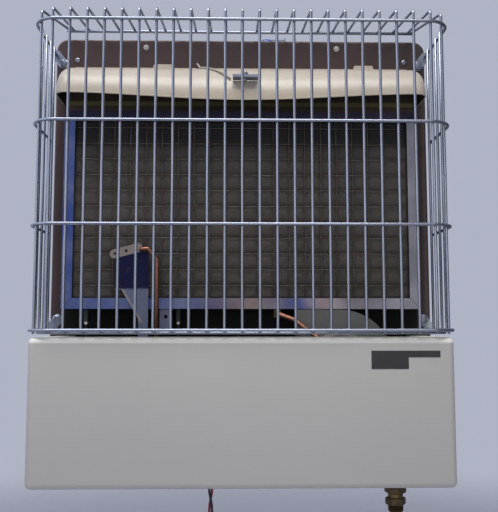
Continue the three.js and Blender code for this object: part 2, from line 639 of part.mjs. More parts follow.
// The quilted pad: a flat border under the frame and one raised pillow in each cell of the screen.
function catalystPad() {
  const lines = (low, high, first, last, step) => {
    const found = [low];
    for (let v = first; v <= last + 0.01; v += step) found.push(v);
    return [...found, high];
  };
  const xs = lines(-innerX, innerX, -STITCH_X, STITCH_X, CELL);
  const zFirst = PAD_FOOT + SCREEN_SHIFT;
  const zs = lines(innerFoot, innerTop, zFirst - CELL, WINDOW_TOP, CELL).sort((a, b) => a - b);
  const corners = [];
  const faces = [];
  const index = (i, k) => k * xs.length + i;
  for (const z of zs) for (const x of xs) corners.push(x, PAD_FRONT, z);
  const back = corners.length / 3;
  for (const z of zs) for (const x of xs) corners.push(x, PAD_BACK, z);
  const border = (i, k) => i === 0 || k === 0 || i === xs.length - 2 || k === zs.length - 2;
  for (let k = 0; k < zs.length - 1; k += 1) {
    for (let i = 0; i < xs.length - 1; i += 1) {
      const [a, b, c, d] = [index(i, k), index(i + 1, k), index(i + 1, k + 1), index(i, k + 1)];
      if (border(i, k)) {
        faces.push(a, b, c, a, c, d);
      } else {
        const peak = corners.length / 3;
        corners.push((xs[i] + xs[i + 1]) / 2, PAD_FRONT - PAD_CROWN, (zs[k] + zs[k + 1]) / 2);
        faces.push(a, b, peak, b, c, peak, c, d, peak, d, a, peak);
      }
    }
  }
  const rim = [];
  for (let i = 0; i < xs.length - 1; i += 1) rim.push([index(i, 0), index(i + 1, 0)]);
  for (let k = 0; k < zs.length - 1; k += 1) rim.push([index(xs.length - 1, k), index(xs.length - 1, k + 1)]);
  for (let i = xs.length - 1; i > 0; i -= 1) rim.push([index(i, zs.length - 1), index(i - 1, zs.length - 1)]);
  for (let k = zs.length - 1; k > 0; k -= 1) rim.push([index(0, k), index(0, k - 1)]);
  const middle = corners.length / 3;
  corners.push(0, PAD_BACK, (innerFoot + innerTop) / 2);
  for (const [a, b] of rim) faces.push(a, a + back, b + back, a, b + back, b, b + back, a + back, middle);
  const used = [...new Set(faces)].sort((a, b) => a - b);
  const place = new Map(used.map((old, now) => [old, now]));
  const geometry = new THREE.BufferGeometry();
  const kept = used.flatMap((i) => corners.slice(3 * i, 3 * i + 3));
  geometry.setAttribute('position', new THREE.Float32BufferAttribute(kept, 3));
  geometry.setIndex(faces.map((i) => place.get(i)));
  return geometry;
}

function padScreen() {
  const wires = [];
  const under = RAIL_WIDTH / 2;                     // wire ends under the frame's rails
  for (let x = CELL - STITCH_X; x < STITCH_X; x += CELL) {
    const ends = [PAD_FOOT - under, WINDOW_TOP + under].map((z) => V(x, SCREEN_Y, z));
    wires.push(wire(ends, SCREEN_D, 4));
  }
  for (let z = PAD_FOOT + SCREEN_SHIFT; z < WINDOW_TOP; z += CELL) {
    const ends = [-WINDOW_X - under, WINDOW_X + under].map((x) => V(x, SCREEN_REAR_Y, z));
    wires.push(wire(ends, SCREEN_D, 4));
  }
  return join(...wires);
}

// One rail of the frame: a face with mitred ends and a flange turned back over the tray's wall.
function frameRail(outer, inner, flangeX, flangeZ) {
  const face = frontPlate(polygon([...outer, ...inner]), TRAY_FRONT - GAP, RAIL_SHEET);
  return join(face, block(flangeX, [TRAY_FRONT - GAP - RAIL_SHEET / 2, TRAY_FRONT + RAIL_FLANGE], flangeZ));
}

function frameRails() {
  const m = GAP;                                    // mitre gap
  const w = RAIL_WIDTH;
  const t = RAIL_SHEET;
  const [x, low, high] = [FRAME_X, FRAME_FOOT, FRAME_TOP];
  const across = [-x + t + GAP, x - t - GAP];
  const upright = [low + t + GAP, high - t - GAP];
  const mitred = (label, outer, inner, flangeX, flangeZ) =>
    piece(`frame_rail_${label}`, 'barePlate', frameRail(outer, inner, flangeX, flangeZ));
  mitred('bottom', [[-x + m, low], [x - m, low]], [[x - w - m, low + w], [-x + w + m, low + w]],
    across, [low, low + t]);
  mitred('top', [[x - m, high], [-x + m, high]], [[-x + w + m, high - w], [x - w - m, high - w]],
    across, [high - t, high]);
  mitred('left', [[-x, high - m], [-x, low + m]], [[-x + w, low + w + m], [-x + w, high - w - m]],
    [-x, -x + t], upright);
  mitred('right', [[x, low + m], [x, high - m]], [[x - w, high - w - m], [x - w, low + w + m]],
    [x - t, x], upright);
}

piece('burner_tray', 'barePlate', burnerTray());
piece('gas_diffuser', 'barePlate', gasDiffuser());
piece('wool_layer', 'wool', woolLayer());
piece('start_element', 'barePlate', startElement());
piece('element_terminal_left', 'ceramic', terminal(TERMINAL_X[0]));
piece('element_terminal_right', 'ceramic', terminal(TERMINAL_X[1]));
piece('catalyst_pad', 'pad', catalystPad());
piece('pad_screen', 'screen', padScreen());
frameRails();

// ---- deflector hood --------------------------------------------------------------------------------

const hoodLip = (x) => HOOD_LIP - HOOD_CROWN * Math.cos((Math.PI * x) / HOOD_WIDTH) ** 2;

// The hood's outer point at x and at a turn from the lip (0) to its top at the pan (90 degrees).
function hoodPoint(x, turn, inset = 0) {
  const half = HOOD_WIDTH / 2;
  const past = Math.max(0, (Math.abs(x) - (half - HOOD_END)) / HOOD_END);
  const scale = 1 - HOOD_END_SHRINK * (1 - Math.sqrt(Math.max(0, 1 - past * past)));
  const lip = hoodLip(x);
  const reach = HOOD_REACH * scale - inset;
  const rise = (HOOD_TOP - lip) * scale - inset;
  return [PAN_FACE - GAP - reach * Math.cos(turn), lip + rise * Math.sin(turn)];
}

// A solid through a row of equal sections, each drawn in y and z at its own x.
function loft(sections) {
  const count = sections[0].points.length;
  const corners = sections.flatMap(({ x, points }) => points.flatMap(([y, z]) => [x, y, z]));
  const faces = [];
  for (let s = 0; s < sections.length - 1; s += 1) {
    for (let i = 0; i < count; i += 1) {
      const [a, b] = [s * count + i, s * count + ((i + 1) % count)];
      faces.push(a, b, b + count, a, b + count, a + count);
    }
  }
  const last = (sections.length - 1) * count;
  for (let i = 1; i < count - 1; i += 1) faces.push(0, i + 1, i, last, last + i, last + i + 1);
  const geometry = new THREE.BufferGeometry();
  geometry.setAttribute('position', new THREE.Float32BufferAttribute(corners, 3));
  geometry.setIndex(faces);
  return geometry;
}

const HOOD_ARC = 7;                                 // steps from the lip to the top

function hoodSections(inset, past) {
  const half = HOOD_WIDTH / 2;
  const ends = [1, 0.92, 0.75, 0.45, 0].map((q) => half - HOOD_END + HOOD_END * q - inset);
  const middle = [0.75, 0.5, 0.25, 0].map((q) => (half - HOOD_END) * q);
  const rightHalf = [...ends, ...middle];
  const xs = [...rightHalf.map((x) => -x), ...rightHalf.slice(0, -1).reverse()];
  return xs.map((x) => {
    const points = [];
    for (let i = 0; i <= HOOD_ARC; i += 1) points.push(hoodPoint(x, (Math.PI / 2) * (i / HOOD_ARC), inset));
    const backY = PAN_FACE - GAP + past;
    points.push([backY, points[HOOD_ARC][1]]);
    points.push([backY, hoodLip(x) - past]);
    points.push([points[0][0], hoodLip(x) - past]);
    return { x, points };
  });
}

function canopyHood() {
  const outer = hoodSections(0, 0);
  for (const section of outer) section.points.length = HOOD_ARC + 2 + 1;
  for (const section of outer) section.points[HOOD_ARC + 2] = [PAN_FACE - GAP, hoodLip(section.x)];
  for (const section of outer) section.points.splice(HOOD_ARC + 1, 1);
  const shell = cut(loft(outer), loft(hoodSections(SHEET, 3)));
  const half = HOOD_WIDTH / 2 - HOOD_END;
  const flange = new THREE.Shape();
  const [tabW, tabH] = HOOD_TAB;
  const foot = HOOD_TOP - 2 * SHEET;
  const top = HOOD_TOP + HOOD_FLANGE;
  flange.moveTo(-half, foot).lineTo(half, foot).lineTo(half, top);
  for (const x of [...HOOD_TAB_X].reverse()) {
    flange.lineTo(x + tabW / 2, top).lineTo(x + tabW / 2 - 1, HOOD_TOP + tabH);
    flange.lineTo(x - tabW / 2 + 1, HOOD_TOP + tabH).lineTo(x - tabW / 2, top);
  }
  flange.lineTo(-half, top);
  return join(shell, frontPlate(flange, PAN_FACE - GAP, SHEET));
}

// The plated shelf on the hood's face, the screw that stands on it and the pale sleeve to it.
const CLIP_X = [-12, 21];
const CLIP_Z = HOOD_TOP - 30;
const CLIP_REACH = 14;
const CLIP_EDGE = 3.5;                             // its turned up front edge
const CLIP_SCREW_X = 4;

function hoodDepthAt(x, z) {
  const lip = hoodLip(x);
  return PAN_FACE - GAP - HOOD_REACH * Math.sqrt(1 - ((z - lip) / (HOOD_TOP - lip)) ** 2);
}

const clipBack = hoodDepthAt(CLIP_SCREW_X, CLIP_Z) - 2 * GAP;
const clipFront = clipBack - CLIP_REACH;
const clipScrewY = (clipBack + clipFront) / 2;

function sensorClip() {
  const t = SHEET;
  const reach = clipFront;
  const section = [
    [clipBack, CLIP_Z], [reach, CLIP_Z], [reach, CLIP_Z + CLIP_EDGE], [reach + t, CLIP_Z + CLIP_EDGE],
    [reach + t, CLIP_Z + t], [clipBack, CLIP_Z + t],
  ];
  const hole = post(CLIP_SCREW_X, clipScrewY, CLIP_Z - 1, CLIP_Z + 5, 2.3, 8);
  return cut(run(section, ...CLIP_X), hole);
}

function clipScrew() {
  const base = CLIP_Z + SHEET + GAP;
  const shank = 2;
  const profile = [
    [0, CLIP_Z - 4], [shank, CLIP_Z - 4], [shank, base], [3.6, base], [3.6, base + 2.6], [shank, base + 2.6],
    [shank, base + 4], [4.2, base + 4], [4.2, base + 6.4], [2.6, base + 8], [0, base + 8.4],
  ];
  return turned(profile, 6, SPIN_UP).translate(CLIP_SCREW_X, clipScrewY, 0);
}

const SLEEVE_D = 2.6;
const SLEEVE_FROM = -60;

function sensorSleeve() {
  const stations = [V(SLEEVE_FROM - 1, PAN_FACE - 3 * GAP, HOOD_TOP + HOOD_FLANGE + 6)];
  const clear = -(SLEEVE_D / 2 + GAP + 0.2);
  for (let i = 1; i <= 6; i += 1) {
    const share = i / 6;
    const x = THREE.MathUtils.lerp(SLEEVE_FROM, CLIP_X[0] - SLEEVE_D, share);
    const turn = THREE.MathUtils.degToRad(78 - 48 * share);
    stations.push(V(x, ...hoodPoint(x, turn, clear)));
  }
  return wire(stations, SLEEVE_D, 8);
}

piece('canopy_hood', 'creamPaint', canopyHood());
piece('sensor_clip', 'zinc', sensorClip());
piece('clip_screw', 'zinc', clipScrew());
piece('sensor_sleeve', 'ceramic', sensorSleeve());

// ---- thermocouple on its bracket in front of the pad -----------------------------------------------

const BRACKET_Y = FRONT_Y + 85;
const BRACKET_X = [-133, -120.5];
const NECK_TOP = 52;
const NECK_WIDE = -156;
const SHIELD_TOP = 100;
const SHIELD_WIDE = -163.5;
const BRACKET_SHEET = 1.5;
const BRACKET_FOOT = -58;
const STRIP_LENGTH = 43.5;
const STRIP_TILT = 15;
const SHIELD_LEAN = 5;
const THERMO_X = -110;
const THERMO_D = 5;
const THERMO_FOOT = -42;
const THERMO_Y = TRAY_FRONT - 2 * GAP - RAIL_SHEET - THERMO_D / 2;
const lean = THREE.MathUtils.degToRad(SHIELD_LEAN);
const STRIP_Y = BRACKET_Y + Math.sin(lean) * (SHIELD_TOP - NECK_TOP - 1) - BRACKET_SHEET / 2;

// Foot on the shelf's web, tapered neck, shield leaning back to the pad and a tilted drilled strip.
function thermocoupleBracket() {
  const t = BRACKET_SHEET;
  const [x0, x1] = BRACKET_X;
  const neck = frontPlate(polygon([
    [x0, BRACKET_FOOT], [x1, BRACKET_FOOT], [x1, NECK_TOP + 1], [NECK_WIDE, NECK_TOP + 1], [x0, 14],
  ]), BRACKET_Y, t);
  const height = SHIELD_TOP - NECK_TOP;
  const shield = push(polygon([
    [SHIELD_WIDE, -0.5], [x1, -0.5], [x1 - 1, height + 1], [SHIELD_WIDE - 1, height - 4],
  ]), t, TO_FRONT).rotateX(-lean).translate(0, BRACKET_Y, NECK_TOP);
  const tilt = THREE.MathUtils.degToRad(STRIP_TILT);
  const strip = push(stadium([6 - STRIP_LENGTH, 0], [-6, 0], 6), t, TO_FRONT);
  const drill = (x) => push(disc(x, 0, 2), t + 4, TO_FRONT).translate(0, 2, 0);
  const drilled = cut(strip, drill(7 - STRIP_LENGTH), drill(22 - STRIP_LENGTH)).rotateY(-tilt);
  drilled.translate(x1 - 9, STRIP_Y, SHIELD_TOP + 8);
  const web = SHELF_BACK - SHELF_SHEET - GAP;
  const foot = block([x0, x1], [BRACKET_Y - t, web], [BRACKET_FOOT - t, BRACKET_FOOT + 0.01]);
  const heel = block([x0, x1], [web - t, web], [BRACKET_FOOT - 16, BRACKET_FOOT]);
  return join(neck, shield, drilled, foot, heel);
}

// The sheathed thermocouple: tip over the strip's end, round and straight down past the frame.
function thermocoupleTube() {
  const tipY = STRIP_Y - BRACKET_SHEET - GAP - THERMO_D / 2;
  const bend = [V(-134, tipY, 104.5), V(-121, tipY, 105), V(THERMO_X, THERMO_Y, 91)];
  return wire(rounded([...bend, V(THERMO_X, THERMO_Y, THERMO_FOOT)], 4, 3), THERMO_D, 8);
}

// A drilled tab under the tray, beside the thermocouple.
function tubeTab() {
  const t = BRACKET_SHEET;
  const x0 = THERMO_X + THERMO_D / 2 + GAP;
  const x1 = x0 + 16;
  const y = ELEMENT_Y - 6;
  const face = cut(frontPlate(roundedRect(x0, x1, -6, FRAME_FOOT - GAP, 2, 0.5), y, t),
    pin(x0 + 8, 17, y + 2, y - 4, 2.6, 10));
  const seat = block([x0, x1], [y - t / 2, y + 9], [FRAME_FOOT - GAP - t, FRAME_FOOT - GAP]);
  return join(face, seat);
}

const LEAD_TUBE_D = 2.4;
const MAGNET_Z = -152;

function thermocoupleLead() {
  const y = THERMO_Y;
  const back = INLET_Y + 24;
  const corners = [
    V(THERMO_X, y, THERMO_FOOT - GAP), V(THERMO_X, y, -66), V(THERMO_X + 40, y - 4, -96), V(20, y - 12, -136),
    V(110, y - 8, -142), V(BUTTON_X - 12, back + 6, MAGNET_Z), V(BUTTON_X, back + 6, MAGNET_Z),
    V(BUTTON_X, back, MAGNET_Z),
  ];
  return wire(rounded(corners, 5, 2), LEAD_TUBE_D, 5);
}

piece('thermocouple_bracket', 'barePlate', thermocoupleBracket());
piece('thermocouple_tube', 'copper', thermocoupleTube());
piece('tube_tab', 'barePlate', tubeTab());

// ---- gas train: fitting, flame failure valve with its button, riser, regulator and supply tube -----

const VALVE_FOOT = SHELF_TOP + GAP;
const VALVE_TOP = -132;
const BARREL_FOOT = -168;
const BARREL_R = 11;
const BUTTON_TOP = -182;
const BUTTON_FOOT = -194;
const STEM_TOP = -152;

// The flame failure valve: gas barrel over the fitting, button barrel beside it, magnet unit behind.
function valveBody() {
  const inletBarrel = post(INLET_X, INLET_Y, VALVE_FOOT, VALVE_TOP, 14, 14);
  const buttonBarrel = post(BUTTON_X, INLET_Y, BARREL_FOOT, VALVE_TOP - 4, BARREL_R, 14);
  const magnet = turned([[0, 8], [8, 8], [8, 18], [5, 18], [5, 24 - GAP], [0, 24 - GAP]], 10, SPIN_FRONT)
    .rotateZ(Math.PI).translate(BUTTON_X, INLET_Y, MAGNET_Z);
  const web = new THREE.ExtrudeGeometry(stadium([INLET_X, INLET_Y], [BUTTON_X, INLET_Y], 8),
    { depth: 18, bevelEnabled: false, curveSegments: 3 }).translate(0, 0, -158);
  const bore = post(BUTTON_X, INLET_Y, BARREL_FOOT - 1, STEM_TOP + 7, STEM_D / 2 + GAP, 10);
  const gasway = post(INLET_X, INLET_Y, VALVE_FOOT - 1, VALVE_FOOT + 12, INLET_BORE / 2, 10);
  return cut(join(inletBarrel, buttonBarrel, magnet, web), bore, gasway);
}

function valveButton() {
  const r = BUTTON_D / 2;
  const profile = [
    [0, BUTTON_FOOT], [r - 1.5, BUTTON_FOOT], [r, BUTTON_FOOT + 1.5], [r, BUTTON_TOP],
    [STEM_D / 2, BUTTON_TOP], [STEM_D / 2, STEM_TOP], [0, STEM_TOP],
  ];
  return turned(profile, 12, SPIN_UP).translate(BUTTON_X, INLET_Y, 0);
}

// The return spring: one helix between the button's shoulder and the barrel's foot.
function buttonSpring() {
  const low = BUTTON_TOP + GAP + SPRING_WIRE / 2;
  const high = BARREL_FOOT - GAP - SPRING_WIRE / 2;
  const radius = STEM_D / 2 + 1.2;
  const steps = SPRING_TURNS * 8;
  const stations = [];
  for (let i = 0; i <= steps; i += 1) {
    const turn = (i * Math.PI) / 4;
    const z = low + ((high - low) * i) / steps;
    stations.push(V(BUTTON_X + radius * Math.cos(turn), INLET_Y + radius * Math.sin(turn), z));
  }
  return wire(stations, SPRING_WIRE, 5);
}

// The fitting under the housing: flange nut, neck, hexagon and end ring round a through bore.
const FITTING = { top: HOUSING_FOOT - GAP, flange: 27, neck: 18.4, hexagon: 22, ring: 19.6, sides: 10 };

function inletFitting() {
  const { top, flange, neck, ring, sides } = FITTING;
  const bore = INLET_BORE / 2;
  const drop = (r, d) => [r, top - d];
  const body = [
    drop(bore, 0), drop(10.6, 0), drop(10.6, 10), drop(flange / 2, 11), drop(flange / 2, 16),
    drop(neck / 2, 18), drop(neck / 2, 22), drop(ring / 2, 23), drop(ring / 2, 31), drop(ring / 2 - 1.2, 33),
    drop(ring / 2 - 1.2, 37), drop(ring / 2 - 0.2, 38), drop(ring / 2 - 0.2, 40), drop(bore, 40),
    drop(bore, 0),
  ];
  const round = (from, to, r) => post(0, 0, from, to, r, sides);
  const nut = hexPrism(FITTING.hexagon, 9).translate(0, 0, top - 31.5);
  const hexagon = cut(nut, round(top - 34, top - 20, bore + 1));
  const spigot = cut(round(top - 1, VALVE_FOOT - GAP, 8), round(top - 2, VALVE_FOOT + 1, bore));
  return join(turned(body, sides, SPIN_UP), hexagon, spigot).translate(INLET_X, INLET_Y, 0);
}

const REGULATOR_FRONT = PAN_FACE - GAP - REGULATOR_THICK;
const COVER_FRONT = REGULATOR_FRONT - 5;
const PORT = [REGULATOR[0] - 24, REGULATOR[1] + 14];
const ELBOW_Z = -17;
const ELBOW_X = [163, 212];

// A cast body, square on one side and round on the other, with a raised cover and an outlet boss.
function gasRegulator() {
  const [x, z] = REGULATOR;
  const left = x - REGULATOR_FLAT;
  const outline = new THREE.Shape();
  outline.moveTo(left, z - 46).lineTo(left, z + REGULATOR_R).lineTo(x, z + REGULATOR_R);
  outline.absarc(x, z, REGULATOR_R, Math.PI / 2, -Math.PI / 2, true);
  outline.lineTo(left + 24, z - REGULATOR_R);
  const body = push(outline, REGULATOR_THICK, TO_FRONT, 12).translate(0, PAN_FACE - GAP, 0);
  const cover = turned([
    [0, -REGULATOR_FRONT - 1], [COVER_R, -REGULATOR_FRONT - 1], [COVER_R, -REGULATOR_FRONT + 2],
    [COVER_R - 4, -COVER_FRONT], [0, -COVER_FRONT],
  ], 24, SPIN_FRONT).translate(x, 0, z);
  return join(body, cover, pin(...PORT, COVER_FRONT + 1, COVER_FRONT - 5, PORT_D / 2, 6));
}

// The brass elbow over the fitting: a cross barrel with a leg down to the riser and one back.
function outletElbow() {
  const r = 9;
  const barrel = turned([[0, ELBOW_X[0]], [r, ELBOW_X[0]], [r, ELBOW_X[1]], [0, ELBOW_X[1]]], 12,
    basis([0, 0, 1], [1, 0, 0], [0, 1, 0])).translate(0, INLET_Y, ELBOW_Z);
  const leg = post(INLET_X, INLET_Y, ELBOW_Z - 20, ELBOW_Z, 9, 12);
  const back = pin(ELBOW_X[0] + r, ELBOW_Z, REGULATOR_FRONT - GAP, INLET_Y, 7.5, 12);
  return join(barrel, leg, back);
}

const riserPipe = () => post(INLET_X, INLET_Y, VALVE_TOP + GAP, ELBOW_Z - 20 - GAP, PIPE_D / 2, 12);

const HOLDER_WIDTH = 9;
const HOLDER_Y = [SUPPLY_Y - 5, PAN_FACE - 2 * GAP];
const HOLDER_PORT_Z = FRAME_FOOT - 6.5;

// The copper tube from the regulator's outlet, up and across to the burner's jet holder.
function supplyTube() {
  const from = COVER_FRONT - 5 - GAP;
  const [px, pz] = PORT;
  const corners = [
    V(px, from, pz), V(px, from - 8, pz), V(96, from - 8, -10), V(67, REGULATOR_FRONT - 5, 13),
    V(SUPPLY_X, TRAY_FRONT, HOLDER_PORT_Z), V(SUPPLY_X, HOLDER_Y[0] - GAP, HOLDER_PORT_Z),
  ];
  return wire(rounded(corners, 4, 2), TUBE_D, 8);
}

// The brass elbow that turns the gas up through the tray's foot.
function jetHolder() {
  const half = HOLDER_WIDTH / 2;
  const body = block([SUPPLY_X - half, SUPPLY_X + half], HOLDER_Y, [HOLDER_PORT_Z - half, FRAME_FOOT - 1]);
  return join(body, post(SUPPLY_X, SUPPLY_Y, HOLDER_PORT_Z, TRAY_FOOT - GAP, 3.2, 8));
}

piece('valve_body', 'brass', valveBody());
piece('valve_button', 'redNylon', valveButton());
piece('button_spring', 'zinc', buttonSpring());
piece('inlet_fitting', 'brass', inletFitting());
piece('gas_regulator', 'castGrey', gasRegulator());
piece('outlet_elbow', 'brass', outletElbow());
piece('riser_pipe', 'brass', riserPipe());
piece('supply_tube', 'copper', supplyTube());
piece('jet_holder', 'brass', jetHolder());
piece('thermocouple_lead', 'copper', thermocoupleLead());

// ---- chassis shelf and housing ---------------------------------------------------------------------

// The holes for the gas fitting, the button and the leads, which line up in the shelf and the housing.
const feedHoles = (from, to) =>
  [[INLET_X, INLET_Y, INLET_HOLE], [BUTTON_X, INLET_Y, BUTTON_D + 2], [LEAD_X, LEAD_Y, GROMMET_D + CLEAR]]
    .map(([x, y, d]) => post(x, y, from, to, d / 2, 16));

function chassisShelf() {
  const t = SHELF_SHEET;
  const half = SHELF_WIDTH / 2;
  const front = SHELF_BACK - SHELF_DEPTH;
  const [inner, lip] = [front + t, SHELF_TOP + SHELF_LIP];
  const section = [
    [SHELF_BACK, SHELF_WEB_TOP], [SHELF_BACK - t, SHELF_WEB_TOP], [SHELF_BACK - t, SHELF_TOP],
    [inner, SHELF_TOP], [inner, lip], [front, lip], [front, SHELF_Z], [SHELF_BACK, SHELF_Z],
  ];
  const [x, z] = REGULATOR;
  const window = block([x - REGULATOR_FLAT - 2, x + REGULATOR_R + 2], [SHELF_BACK - t - 1, SHELF_BACK + 1],
    [z - REGULATOR_R - 2, SHELF_WEB_TOP + 1]);
  return cut(run(section, -half, half), ...feedHoles(SHELF_Z - 2, SHELF_TOP + 2), window);
}

// One drawn cover, open at the back, with rounded edges and a rounded mouth in its top.
function housingCover() {
  const half = HOUSING_WIDTH / 2;
  const r = HOUSING_EDGE;
  const depth = -HOUSING_FRONT + PAN_FACE - GAP;
  const drawn = (inset, length) => {
    const edge = r - inset;
    const outline = roundedRect(-half + r, half - r, HOUSING_FOOT + r, HOUSING_TOP - r, 0.6);
    const bevel = { bevelThickness: edge, bevelSize: edge, bevelSegments: 3 };
    const options = { depth: length, curveSegments: 1, ...bevel };
    return new THREE.ExtrudeGeometry(outline, options).applyMatrix4(TO_FRONT);
  };
  const outer = drawn(0, depth).translate(0, HOUSING_FRONT + r + depth, 0);
  const inner = drawn(SHEET, depth + 40).translate(0, HOUSING_FRONT + r + depth + 40, 0);
  const behind = block([-half - 9, half + 9], [PAN_FACE - GAP, 60], [HOUSING_FOOT - 9, HOUSING_TOP + 9]);
  const mouthOutline = roundedRect(-half + HOUSING_MOUTH_SIDE, half - HOUSING_MOUTH_SIDE,
    HOUSING_FRONT + HOUSING_TOP_FLANGE, 20, HOUSING_MOUTH_R, 1);
  const mouth = new THREE.ExtrudeGeometry(mouthOutline, { depth: 12, bevelEnabled: false, curveSegments: 2 })
    .translate(0, 0, HOUSING_TOP - 6);
  return cut(outer, inner, behind, mouth, ...feedHoles(HOUSING_FOOT - 2, HOUSING_FOOT + 4));
}

piece('chassis_shelf', 'barePlate', chassisShelf());
piece('housing_cover', 'greyPaint', housingCover());

// ---- low voltage feed ------------------------------------------------------------------------------

const GROMMET_FLANGE = 14;
const GROMMET_FOOT = 2.5;                          // its rim's thickness under the housing
const SPLICE_D = 6;
const SPLICE_LENGTH = 24;

function leadGrommet() {
  const top = SHELF_TOP + GAP;
  const foot = HOUSING_FOOT - GAP;
  const flange = GROMMET_FLANGE / 2;
  const neck = GROMMET_D / 2;
  const profile = [
    [0, foot - GROMMET_FOOT], [flange - 1.5, foot - GROMMET_FOOT], [flange, foot - 1], [flange, foot],
    [neck, foot], [neck, top], [flange, top], [flange - 1, top + 2], [0, top + 2],
  ];
  return turned(profile, 12, SPIN_UP).translate(LEAD_X, LEAD_Y, 0);
}

// The two free conductors, twisted once about each other as they hang. Points are x, y, z from the
// grommet's underside.
const LEAD_FROM = HOUSING_FOOT - GROMMET_FOOT - 2 * GAP;
const RED_ROUTE = [
  [1.7, 0, 0], [1.8, 0, -6], [1.6, 0.9, -12], [0.4, 1.7, -19], [-1.2, 1.2, -26], [-1.8, -0.2, -34],
  [-1.2, -1.4, -42], [0.2, -1.8, -50], [1.5, -1.1, -59], [2.1, 0.2, -68], [2.5, 0.6, -76], [2.9, 0.8, -84],
  [3.4, 0.8, -92], [3.9, 0.6, -101], [4.5, 0.3, -110], [5, 0, -120],
];
const BLACK_ROUTE = RED_ROUTE.map(([x, y, z]) => [-x, -y, z]);
const leadPoint = ([x, y, z]) => V(LEAD_X + x, LEAD_Y + y, LEAD_FROM + z);
const freeLead = (route) => wire(route.map(leadPoint), LEAD_D, 8);

function splice(route) {
  const [x, y, z] = route[route.length - 1];
  const top = LEAD_FROM + z - GAP;
  const r = SPLICE_D / 2;
  const foot = top - SPLICE_LENGTH;
  const profile = [
    [0, foot], [r - 0.8, foot], [r, foot + 2], [r, foot + 9], [r - 0.7, foot + 11], [r - 0.7, foot + 14],
    [r, foot + 16], [r, top - 2], [r - 0.8, top], [0, top],
  ];
  return turned(profile, 8, SPIN_UP).translate(LEAD_X + x, LEAD_Y + y, 0);
}

// The conductors inside: up from the grommet to the start element's two terminals.
function innerLead(start, x, lane) {
  const foot = TERMINAL_FOOT - GAP;
  const from = SHELF_TOP + GAP + 2 + GAP;
  const [fromX, turnX] = [LEAD_X + start, LEAD_X + 2 * start - 12];
  const corners = [
    V(fromX, LEAD_Y, from), V(fromX, LEAD_Y, from + 14), V(turnX, lane, -120), V(x, lane, -80),
    V(x, ELEMENT_Y, -30), V(x, ELEMENT_Y, foot),
  ];
  return wire(rounded(corners, 8, 2), LEAD_D, 5);
}

piece('lead_grommet', 'rubber', leadGrommet());
piece('inner_lead_red', 'redInsulation', innerLead(-1.7, TERMINAL_X[0], LEAD_Y + 12));
piece('inner_lead_black', 'blackInsulation', innerLead(1.7, TERMINAL_X[1], LEAD_Y - 6));
piece('lead_red', 'redInsulation', freeLead(RED_ROUTE));
piece('lead_black', 'blackInsulation', freeLead(BLACK_ROUTE));
piece('splice_red', 'redNylon', splice(RED_ROUTE));
piece('splice_black', 'blackInsulation', splice(BLACK_ROUTE));

// The origin: on the wall plane, at the middle of the pan's top back lip.
group.position.z = -(PAN_TOP - PAN_LIP / 2);

export default group;
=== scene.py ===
# A wall mounted flameless gas heater, dressed: wire guard, quilted pad, deflector hood, pan, housing,
# gas and electric feeds, their finishes, and the studio that shows them. Metres, +X right, +Y into the
# wall, +Z up, with the origin on the wall where the heater hangs.
import json
import math
import random
from contextlib import contextmanager

import bmesh
import bpy
from bpy.props import FloatProperty, FloatVectorProperty, IntProperty, PointerProperty
from mathutils import Matrix, Vector, noise


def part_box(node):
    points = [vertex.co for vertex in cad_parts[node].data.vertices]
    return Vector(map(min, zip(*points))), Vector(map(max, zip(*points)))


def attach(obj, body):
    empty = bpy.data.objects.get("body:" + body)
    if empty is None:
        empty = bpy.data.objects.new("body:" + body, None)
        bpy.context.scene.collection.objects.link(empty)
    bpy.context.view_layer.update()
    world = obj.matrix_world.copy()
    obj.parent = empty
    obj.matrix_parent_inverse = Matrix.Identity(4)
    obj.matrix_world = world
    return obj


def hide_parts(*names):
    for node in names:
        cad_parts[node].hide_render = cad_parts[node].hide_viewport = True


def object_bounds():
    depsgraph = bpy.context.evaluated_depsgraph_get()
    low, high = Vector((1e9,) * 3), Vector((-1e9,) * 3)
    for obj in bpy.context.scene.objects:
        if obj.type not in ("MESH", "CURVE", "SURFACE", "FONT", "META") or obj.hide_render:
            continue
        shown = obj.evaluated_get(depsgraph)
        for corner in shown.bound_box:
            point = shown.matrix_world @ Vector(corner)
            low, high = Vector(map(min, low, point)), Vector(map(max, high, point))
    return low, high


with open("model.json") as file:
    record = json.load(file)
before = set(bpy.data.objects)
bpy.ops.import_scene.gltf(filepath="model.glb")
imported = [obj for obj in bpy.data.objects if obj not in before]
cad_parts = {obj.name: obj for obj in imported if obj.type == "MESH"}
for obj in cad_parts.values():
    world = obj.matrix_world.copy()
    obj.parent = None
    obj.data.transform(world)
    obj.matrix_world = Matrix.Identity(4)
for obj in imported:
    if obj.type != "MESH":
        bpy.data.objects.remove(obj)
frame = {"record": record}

bl_info = {
    "name": "Wall Gas Heater",
    "version": (1, 0, 0),
    "blender": (4, 5, 0),
    "location": "View3D > Sidebar > Heater",
    "description": "Dresses a wall mounted flameless gas heater piece by piece",
    "category": "Object",
}

CAD_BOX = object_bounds()
MM = 0.001
HEATER = "heater"
BUTTON = "button"


def mm(*lengths):
    """Millimetres as metres: one number, or a tuple of them."""
    scaled = tuple(length * MM for length in lengths)
    return scaled[0] if len(scaled) == 1 else scaled


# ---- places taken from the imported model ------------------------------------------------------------

RING_LOW, RING_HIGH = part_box("guard_side_left")
FRONT_LOW, FRONT_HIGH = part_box("guard_front")
PAN_LOW, PAN_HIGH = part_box("back_pan")
HOOD_LOW, HOOD_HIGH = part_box("canopy_hood")
HOUSING_LOW, HOUSING_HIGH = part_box("housing_cover")
PAD_LOW, PAD_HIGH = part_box("catalyst_pad")
SCREEN_LOW, SCREEN_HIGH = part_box("pad_screen")
WOOL_LOW, WOOL_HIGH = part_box("wool_layer")

